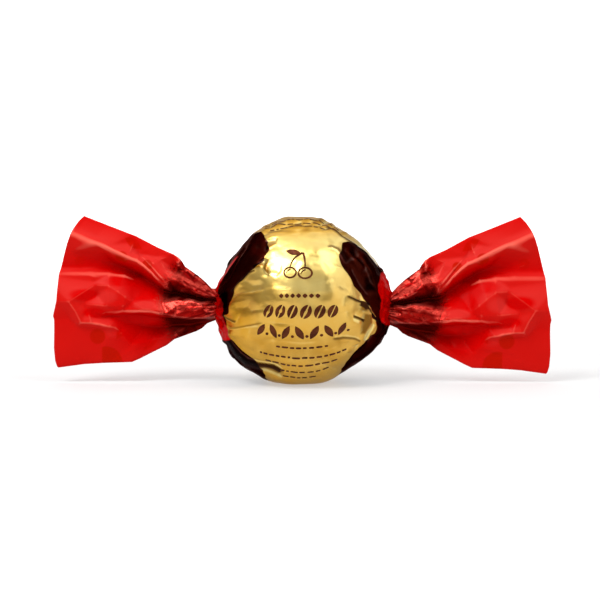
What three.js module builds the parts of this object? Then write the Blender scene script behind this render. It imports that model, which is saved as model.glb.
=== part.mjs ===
// A wrapped chocolate truffle: a ball closed in one sheet of printed film. The film is gathered
// into a narrow neck on each side and fans out beyond it as a flat, pleated tail. The shut pack
// can't be seen into, so ball, necks and tails are one solid.
//
// Millimetres. +Z is up, +X runs from the left tail to the right one, and the label faces -Y.
// The origin is the middle of the small flat spot that the ball rests on.
//
// The skin is a stack of rings, from the end of the left tail to the end of the right one. Every
// ring has the same number of points, which start at the bottom and go over the front (-Y), the
// top and the back (+Y). A tail's folds keep to their own points, so that every crease is clean.

import * as THREE from "three";

// The ball
const ballRadius = 19.2;
const restRadius = 5; // of the flat spot under the ball
const leftReach = 18.7; // from the ball's middle to the left neck
const rightReach = 21.1; // and to the right one, where the film spans a little cone
const leftSag = 1.6; // how far the film on the left hangs below the ball's middle line

// The necks
const neckRadius = 3.6;
const leftNeckDrop = 0.6; // below the ball's middle
const rightNeckDrop = 1.5;

// Pleats, which gather at a neck and fade out over the ball and the tail
const neckPleats = 9;
const neckPleatDepth = 0.45;

// A tail
const topLength = 29.6; // from the neck to the end of the upper fold, along X
const bottomLength = 36.6; // and to the end of the lower one
const topRise = 16.4; // how far the upper fold climbs from the neck to its end
const bottomFall = 10.7; // and how far the lower one falls
const endBulge = 2.3; // how far the cut end bows out between its corners
const endHalfGap = 0.9; // half the distance between the two layers, at the free end
const gatherShare = 0.25; // of the tail, over which the round neck flattens out

// The folds of a tail, from its lower fold to its upper one. At the free end each lies at a share
// of the way up the cut end, and stands out towards the back by its depth.
const tailFolds = [
  { at: 0.0, depth: 0.0 },
  { at: 0.22, depth: -1.8 },
  { at: 0.4, depth: 1.5 },
  { at: 0.5, depth: -1.4 },
  { at: 0.57, depth: 0.8 },
  { at: 0.66, depth: -2.8 },
  { at: 0.79, depth: 2.4 },
  { at: 0.91, depth: -2.6 },
  { at: 1.0, depth: 0.3 },
];

// How finely the skin is divided
const pointsPerFold = 4;
const pointsPerSide = pointsPerFold * (tailFolds.length - 1);
const pointsPerRing = 2 * pointsPerSide;
const ringsPerTail = 12;
const ringsOnBall = 27;

const ballHeight = Math.sqrt(ballRadius ** 2 - restRadius ** 2);

const mix = (from, to, share) => from + (to - from) * share;
const smooth = (share) => share * share * (3 - 2 * share);

// The lesser of two lengths, with the corner between them rounded.
const softMin = (a, b) => (a ** -8 + b ** -8) ** (-1 / 8);

// The angle of a ring's point, from 0 at the bottom over the front and back round again.
const angleOf = (point) => (Math.PI * point) / pointsPerSide;

// How far a pleat stands out at a neck, as an uneven wave round it.
function pleatAt(angle) {
  return neckPleatDepth * Math.cos(neckPleats * angle + 0.7) * (0.8 + 0.2 * Math.cos(2 * angle));
}

// A ring of the ball. side is from -1 at the left neck to 1 at the right one. The ball is two half
// ellipsoids cut off at the necks, and it ends below in the flat spot.
function ballRing(side) {
  const outward = Math.abs(side);
  const reach = side < 0 ? leftReach : rightReach;
  const neckDrop = side < 0 ? leftNeckDrop : rightNeckDrop;
  const neckSwing = Math.acos(neckRadius / ballRadius);
  const swing = outward * neckSwing;
  const radius = ballRadius * Math.cos(swing);
  const along = Math.sign(side) * reach * (Math.sin(swing) / Math.sin(neckSwing));
  const sag = side < 0 ? leftSag * smooth(outward) * (1 - outward ** 6) : 0;
  const middle = ballHeight - neckDrop * outward ** 3 - sag;
  const ring = [];
  for (let point = 0; point < pointsPerRing; point += 1) {
    const angle = angleOf(point);
    const r = radius + pleatAt(angle) * outward ** 4;
    const height = Math.max(0, middle - r * Math.cos(angle));
    ring.push(new THREE.Vector3(along, -r * Math.sin(angle), height));
  }
  return ring;
}

// Where a ring's point lies on the folds of a tail's free end, and how deep. Neighbouring folds are
// joined by half a wave, so that crests and valleys are rounded.
function foldAt(point) {
  const place = Math.min(point, pointsPerRing - point) / pointsPerFold;
  const fold = Math.min(Math.floor(place), tailFolds.length - 2);
  const low = tailFolds[fold];
  const high = tailFolds[fold + 1];
  const share = place - fold;
  return { at: mix(low.at, high.at, share), depth: mix(low.depth, high.depth, smooth(share)) };
}

// A ring of a tail. out is from 0 at the neck to 1 at the free end, and side is -1 for the left
// tail and 1 for the right one. The neck is round, and it flattens out into two folded layers.
function tailRing(out, side) {
  const reach = side < 0 ? leftReach : rightReach;
  const neckHeight = ballHeight - (side < 0 ? leftNeckDrop : rightNeckDrop);
  const upper = neckRadius + topRise * out ** 0.6;
  const lower = neckRadius + bottomFall * softMin(1.85 * out, 0.87 + 0.13 * out);
  const gathered = Math.exp(-out / gatherShare);
  const halfGap = mix(endHalfGap, neckRadius, gathered);
  const ring = [];
  for (let point = 0; point < pointsPerRing; point += 1) {
    const angle = angleOf(point);
    const fold = foldAt(point);
    const share = mix((1 - Math.cos(angle)) / 2, fold.at, smooth(out));
    const bulge = endBulge * 4 * share * (1 - share) * out;
    const along = reach + mix(bottomLength, topLength, share) * out + bulge;
    const pleat = pleatAt(angle) * gathered;
    const depth = fold.depth * smooth(out) ** 0.6 - (halfGap + pleat) * Math.sin(angle);
    const height = neckHeight + mix(-lower, upper, share) - pleat * Math.cos(angle);
    ring.push(new THREE.Vector3(side * along, depth, height));
  }
  return ring;
}

// Joins the rings into one closed skin. Each open end is closed by a strip that joins the points
// of its front layer to those of its back one.
function skinOf(rings) {
  const corners = rings.flat().flatMap((corner) => corner.toArray());
  const triangles = [];
  const addSquare = (a, b, c, d) => triangles.push(a, b, c, a, c, d);
  const at = (ring, point) => ring * pointsPerRing + (point % pointsPerRing);
  for (let ring = 0; ring < rings.length - 1; ring += 1) {
    for (let point = 0; point < pointsPerRing; point += 1) {
      addSquare(at(ring, point), at(ring + 1, point), at(ring + 1, point + 1), at(ring, point + 1));
    }
  }
  for (const ring of [0, rings.length - 1]) {
    for (let point = 0; point < pointsPerSide; point += 1) {
      const front = [at(ring, point), at(ring, point + 1)];
      const back = [at(ring, pointsPerRing - point), at(ring, pointsPerRing - point - 1)];
      const strip = [front[0], front[1], back[1], back[0]];
      addSquare(...(ring === 0 ? strip : strip.reverse()));
    }
  }
  const skin = new THREE.BufferGeometry();
  skin.setAttribute("position", new THREE.Float32BufferAttribute(corners, 3));
  skin.setIndex(triangles);
  skin.computeVertexNormals();
  return skin;
}

// The rings of a tail, from the neck outwards. They lie closer together where the neck opens out.
function tailRings(side) {
  const steps = Array.from({ length: ringsPerTail }, (_, ring) => (ring + 1) / ringsPerTail);
  return steps.map((step) => tailRing(step ** 1.4, side));
}

const ballSides = Array.from({ length: ringsOnBall }, (_, ring) => (2 * ring) / (ringsOnBall - 1) - 1);
const rings = [...tailRings(-1).reverse(), ...ballSides.map(ballRing), ...tailRings(1)];

const film = new THREE.MeshStandardMaterial({ color: 0xcfa544, roughness: 0.3, metalness: 0.8 });
const truffle = new THREE.Mesh(skinOf(rings), film);
truffle.name = "wrapped_truffle";

const sweet = new THREE.Group();
sweet.add(truffle);

export default sweet;
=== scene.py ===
# A wrapped chocolate truffle: a ball in gold, brown and red film between two pleated red tails.
import math
import bpy
import numpy as np
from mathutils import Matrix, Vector
from mathutils.geometry import delaunay_2d_cdt


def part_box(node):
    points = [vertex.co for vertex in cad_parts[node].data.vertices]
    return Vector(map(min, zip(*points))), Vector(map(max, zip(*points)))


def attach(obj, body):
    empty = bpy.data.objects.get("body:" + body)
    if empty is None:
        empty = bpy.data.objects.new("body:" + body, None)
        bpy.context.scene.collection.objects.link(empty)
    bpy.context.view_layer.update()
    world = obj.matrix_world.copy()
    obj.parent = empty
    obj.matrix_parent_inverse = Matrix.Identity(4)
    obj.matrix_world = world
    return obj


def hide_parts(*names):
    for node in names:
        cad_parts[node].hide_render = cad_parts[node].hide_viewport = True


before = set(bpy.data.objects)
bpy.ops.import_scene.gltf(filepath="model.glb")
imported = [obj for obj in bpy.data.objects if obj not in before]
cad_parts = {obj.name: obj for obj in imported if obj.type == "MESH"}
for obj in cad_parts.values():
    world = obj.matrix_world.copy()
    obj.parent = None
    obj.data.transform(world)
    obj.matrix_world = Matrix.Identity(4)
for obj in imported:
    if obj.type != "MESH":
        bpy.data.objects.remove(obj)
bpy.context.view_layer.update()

lowCorner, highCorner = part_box("wrapped_truffle")
mm = 0.001

# measures that the pieces share, in millimetres
sweet = {
    "ballRadius": (highCorner.y - lowCorner.y) / 2 / mm,
    "restRadius": 5.0,       # of the flat spot under the ball
    "neckRadius": 3.5,
    "tailLength": 36.73,     # from a neck to the farthest point of its tail
    "leftNeckDrop": 0.6,     # below the ball's middle
    "rightNeckDrop": 1.5,
    "labelTilt": 5.0,        # degrees that the label looks up by
    "mapScale": 0.01,        # of the UV maps, in which the film lies flat
}
sweet["middleHeight"] = math.sqrt(sweet["ballRadius"] ** 2 - sweet["restRadius"] ** 2)
sweet["leftNeck"] = lowCorner.x / mm + sweet["tailLength"]
sweet["rightNeck"] = highCorner.x / mm - sweet["tailLength"]
sweet["neckSwing"] = math.acos(sweet["neckRadius"] / sweet["ballRadius"])  # from the middle to a neck

# what a crease, a flap or a dent has where its own entry says nothing, in mm or shares of its length
usual = {
    "widths": (1.5, 1.5),        # over which a crease fades, on its left and on its right
    "edge": 0.15,                # that its crest is rounded by
    "fade": 0.2,                 # share over which each end of it fades out
    "flapEdge": 0.12,            # that a flap's edge is rounded by
    "flapFade": 0.15,
    "dark": 0.95,                # how dark the painted shadow is close under a flap
    "shadeFade": 0.08,
    "shadeReach": (1.6, 0.5),    # of a flap's own shade: where the dark ends, and where it is full
    "shadeEdge": (0.15, -0.05),  # where the dark begins on the flap itself, and where it is full
    "soft": 0.35,                # over which a dent fades inside its rim
    "rim": 0.15,                 # and outside it
}


def blendOver(low, high, value):
    # 0 below low, 1 above high, and 3t^2 - 2t^3 between them
    t = np.clip((value - low) / (high - low), 0, 1)
    return t * t * (3 - 2 * t)


def riseFrom(least, low, high, value):
    # least below low, and 1 above high
    return least + (1 - least) * blendOver(low, high, value)


def nearPath(path, x, z):
    # for each (x, z): distance to the path, side of it (+1 left of its travel), share of its length
    path = np.array(path, float)
    lengths = np.hypot(*(path[1:] - path[:-1]).T)
    passed = np.concatenate([[0], np.cumsum(lengths)]) / lengths.sum()
    best = np.full(np.shape(x), 1e9)
    side = np.ones(np.shape(x))
    share = np.zeros(np.shape(x))
    for k in range(len(lengths)):
        (ax, az), (bx, bz) = path[k], path[k + 1]
        ex, ez = bx - ax, bz - az
        t = np.clip(((x - ax) * ex + (z - az) * ez) / lengths[k] ** 2, 0, 1)
        dx, dz = x - ax - t * ex, z - az - t * ez
        d = np.hypot(dx, dz)
        nearer = d < best
        side = np.where(nearer, np.where(ex * dz - ez * dx > 0, 1.0, -1.0), side)
        share = np.where(nearer, passed[k] + t * (passed[k + 1] - passed[k]), share)
        best = np.where(nearer, d, best)
    return best, side, share


def fadeEnds(share, fade):
    # 1 along a path, and down to 0 over a share of its length at each end
    return blendOver(0, fade, share) * blendOver(0, fade, 1 - share)


def creaseHeight(crease, x, z):
    # height * exp(-(sqrt(d^2 + edge^2) - edge) / width), a width for each side, faded at both ends
    d, side, share = nearPath(crease["path"], x, z)
    widthLeft, widthRight = crease.get("widths", usual["widths"])
    width = np.where(side > 0, widthLeft, widthRight)
    edge = crease.get("edge", usual["edge"])
    ends = fadeEnds(share, crease.get("fade", usual["fade"]))
    return crease["height"] * np.exp(-(np.sqrt(d * d + edge * edge) - edge) / width) * ends


def flapHeight(flap, x, z):
    # the film left of the path lies on top: step * exp(-d / reach) there, with a steep edge
    d, side, share = nearPath(flap["path"], x, z)
    signed = d * side
    upper = 0.5 + 0.5 * np.tanh(signed / usual["flapEdge"])
    return (flap["step"] * fadeEnds(share, usual["flapFade"]) * upper
            * np.exp(-np.maximum(signed, 0) / flap["reach"]))


def flapShade(flap, x, z):
    # painted shadow: dark close under the edge of the upper film, and none from 1.6 x the flap's shade away
    d, side, share = nearPath(flap["path"], x, z)
    under = d * side * math.copysign(1, flap["step"])
    dark = flap.get("dark", usual["dark"]) * fadeEnds(share, usual["shadeFade"])
    endsAt, fullAt = usual["shadeReach"]
    below = blendOver(-endsAt * flap["shade"], -fullAt * flap["shade"], under)
    return dark * below * blendOver(*usual["shadeEdge"], under)


def dentFace(dent, x, z):
    # a flat, leaning face inside a convex outline, counter-clockwise: height rise + lean . (place - middle),
    # and 1 inside it
    corners = np.array(dent["corners"], float)
    middle = corners.mean(0)
    inside = np.full(np.shape(x), 1e9)
    for (ax, az), (bx, bz) in zip(corners, np.roll(corners, -1, 0)):
        length = math.hypot(bx - ax, bz - az)
        inside = np.minimum(inside, ((bx - ax) * (z - az) - (bz - az) * (x - ax)) / length)
    leanX, leanZ = dent.get("lean", (0, 0))
    plane = dent.get("rise", 0) + leanX * (x - middle[0]) + leanZ * (z - middle[1])
    within = blendOver(-usual["rim"], dent.get("soft", usual["soft"]), inside)
    return plane * within, within


def waves(points, size, seed, count=12):
    # an even, smooth unevenness, about -1 to 1: sum of sin(k . p + a) over random directions k, for
    # waves of 0.7 to 1.4 x the size
    rng = np.random.default_rng(seed)
    directions = rng.normal(size=(count, 3))
    directions /= np.linalg.norm(directions, axis=1)[:, None]
    lengths = 2 * math.pi / (size * rng.uniform(0.7, 1.4, count))
    phases = rng.uniform(0, 2 * math.pi, count)
    total = np.zeros(points.shape[:-1])
    for k in range(count):
        total += np.sin(points @ (directions[k] * lengths[k]) + phases[k])
    return total / math.sqrt(count)


def hollows(points, spots, stretch):
    # shallow bowls that meet in sharp ridges: (distance to the nearest spot)^2
    best = np.full(points.shape[:-1], 1e9)
    for spot in spots:
        best = np.minimum(best, (((points - spot) * stretch) ** 2).sum(-1))
    return best


def foldedFaces(places, edges, firstLine, secondLine):
    # flat triangles between the (first, second, height) places, none across an edge; in each, the
    # height over the grid of the two lines is height a + share b * (b - a) + share c * (c - a)
    tiny = 1e-6  # by which the triangles overlap, so that no grid point is left out
    flatPlaces = [Vector(place[:2]) for place in places]
    corners, _, triangles, origins, _, _ = delaunay_2d_cdt(flatPlaces, edges, [], 0, 1e-4)
    heights = [places[origin[0]][2] for origin in origins]
    height = np.zeros((len(firstLine), len(secondLine)))
    for triangle in triangles:
        (ax, az), (bx, bz), (cx, cz) = [corners[k] for k in triangle]
        a, b, c = [heights[k] for k in triangle]
        i, j = np.searchsorted(firstLine, [min(ax, bx, cx) - tiny, max(ax, bx, cx) + tiny])
        k, m = np.searchsorted(secondLine, [min(az, bz, cz) - tiny, max(az, bz, cz) + tiny])
        first, second = np.meshgrid(firstLine[i:j] - ax, secondLine[k:m] - az, indexing="ij")
        area = (bx - ax) * (cz - az) - (cx - ax) * (bz - az)
        shareB = (first * (cz - az) - (cx - ax) * second) / area
        shareC = ((bx - ax) * second - first * (bz - az)) / area
        inside = (shareB >= -tiny) & (shareC >= -tiny) & (shareB + shareC <= 1 + tiny)
        plane = a + shareB * (b - a) + shareC * (c - a)
        height[i:j, k:m] = np.where(inside, plane, height[i:j, k:m])
    return height


def strewn(rng, rows, columns, columnPitch, stray):
    # staggered rows of places, each as its row, its column and two random shares of the pitch to stray
    for k, row in enumerate(rows):
        for column in columns + columnPitch / 2 * (k % 2):
            yield row, column, rng.uniform(-stray, stray), rng.uniform(-stray, stray)


def normalsOf(grid):
    # cross product of the differences along the two ways of a grid that closes across
    along = np.gradient(grid, axis=0)
    across = (np.roll(grid, -1, 1) - np.roll(grid, 1, 1)) / 2
    normal = np.cross(along, across)
    return normal / np.maximum(np.linalg.norm(normal, axis=-1, keepdims=True), 1e-12)


def soften(field, times, closedAcross=True):
    # each pass takes half of a point and a quarter of each neighbour, both ways of the grid
    for _ in range(times):
        inner = field.copy()
        inner[1:-1] = field[1:-1] / 2 + (field[:-2] + field[2:]) / 4
        field = inner
        if closedAcross:
            field = field / 2 + (np.roll(field, 1, 1) + np.roll(field, -1, 1)) / 4
        else:
            inner = field.copy()
            inner[:, 1:-1] = field[:, 1:-1] / 2 + (field[:, :-2] + field[:, 2:]) / 4
            field = inner
    return field


def readGrid(grid, row, column):
    # bilinear: each place takes its four grid neighbours, weighed by nearness
    row = np.clip(row, 0, grid.shape[0] - 1.001)
    column = np.clip(column, 0, grid.shape[1] - 1.001)
    r, c = row.astype(int), column.astype(int)
    if grid.ndim == 3:
        row, column = row[..., None], column[..., None]
    pastRow, pastColumn = row - np.floor(row), column - np.floor(column)
    low = grid[r, c] * (1 - pastColumn) + grid[r, c + 1] * pastColumn
    high = grid[r + 1, c] * (1 - pastColumn) + grid[r + 1, c + 1] * pastColumn
    return low * (1 - pastRow) + high * pastRow


def roundCurve(pairs, at):
    # a smooth closed curve through (degrees, value) pairs: cubic, with slopes from the neighbours
    pairs = np.array(sorted(pairs), float)
    turns = np.concatenate([pairs[-2:, 0] - 360, pairs[:, 0], pairs[:3, 0] + 360])
    values = np.concatenate([pairs[-2:, 1], pairs[:, 1], pairs[:3, 1]])
    at = (at - pairs[0, 0]) % 360 + pairs[0, 0]
    k = np.clip(np.searchsorted(turns, at, side="right") - 1, 1, len(turns) - 3)
    t = (at - turns[k]) / (turns[k + 1] - turns[k])
    a, b, c, d = values[k - 1], values[k], values[k + 1], values[k + 2]
    slopeB = (c - a) / (turns[k + 1] - turns[k - 1]) * (turns[k + 1] - turns[k])
    slopeC = (d - b) / (turns[k + 2] - turns[k]) * (turns[k + 1] - turns[k])
    return ((2 * t ** 3 - 3 * t ** 2 + 1) * b + (t ** 3 - 2 * t ** 2 + t) * slopeB
            + (3 * t ** 2 - 2 * t ** 3) * c + (t ** 3 - t ** 2) * slopeC)


def linked(name, data):
    # a new object at the origin, in the scene
    made = bpy.data.objects.new(name, data)
    bpy.context.scene.collection.objects.link(made)
    return made


def ringMesh(name, rings, fanEnds, attributes, filmMap):
    # closed skin over rings of points (ring, point, xyz) in mm, with a fan or a strip at each end
    ringCount, pointCount = rings.shape[:2]
    vertices = rings.reshape(-1, 3)
    ring, point = np.meshgrid(np.arange(ringCount - 1), np.arange(pointCount), indexing="ij")
    after = (point + 1) % pointCount
    quads = np.stack([ring * pointCount + point, ring * pointCount + after,
                      (ring + 1) * pointCount + after, (ring + 1) * pointCount + point], -1)
    quads = [quads.reshape(-1, 4)]
    triangles = []
    centres = []
    points = np.arange(pointCount)
    half = np.arange(pointCount // 2)
    for end, start in ((0, 0), (-1, (ringCount - 1) * pointCount)):
        if fanEnds[end]:
            here, there = start + points, start + (points + 1) % pointCount
            centre = np.full(pointCount, len(vertices) + len(centres))
            centres.append(rings[end].mean(0))
            triangles.append(np.stack([there, here, centre] if end == 0 else [here, there, centre], -1))
        else:
            low, high = start + half, start + half + 1
            backLow = start + (pointCount - half) % pointCount
            backHigh = start + pointCount - half - 1
            strip = [high, low, backLow, backHigh] if end == 0 else [low, high, backHigh, backLow]
            quads.append(np.stack(strip, -1))
    vertices = np.concatenate([vertices, centres])
    faces = quads + triangles
    corners = np.concatenate([f.ravel() for f in faces])
    sizes = np.concatenate([np.full(len(f), f.shape[1]) for f in faces])
    starts = np.concatenate([[0], np.cumsum(sizes)[:-1]])
    mesh = bpy.data.meshes.new(name)
    mesh.vertices.add(len(vertices))
    mesh.vertices.foreach_set("co", (vertices * mm).astype(np.float32).ravel())
    mesh.loops.add(len(corners))
    mesh.loops.foreach_set("vertex_index", corners.astype(np.int32))
    mesh.polygons.add(len(starts))
    mesh.polygons.foreach_set("loop_start", starts.astype(np.int32))
    mesh.update(calc_edges=True)
    mesh.validate()
    mesh.shade_smooth()
    # the middles of the fans lie out of sight, and their fields are 0
    spare = np.zeros(len(centres))
    for key, field in attributes.items():
        values = np.concatenate([field.ravel(), spare]).astype(np.float32)
        mesh.attributes.new(key, "FLOAT", "POINT").data.foreach_set("value", values)
    loopVertex = np.zeros(len(mesh.loops), np.int32)
    mesh.loops.foreach_get("vertex_index", loopVertex)
    places = [np.concatenate([field.ravel(), spare])[loopVertex] for field in filmMap]
    uvs = (np.stack(places, -1) * sweet["mapScale"]).astype(np.float32)
    mesh.uv_layers.new(name="film").data.foreach_set("uv", uvs.ravel())
    return linked(name, mesh)


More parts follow.
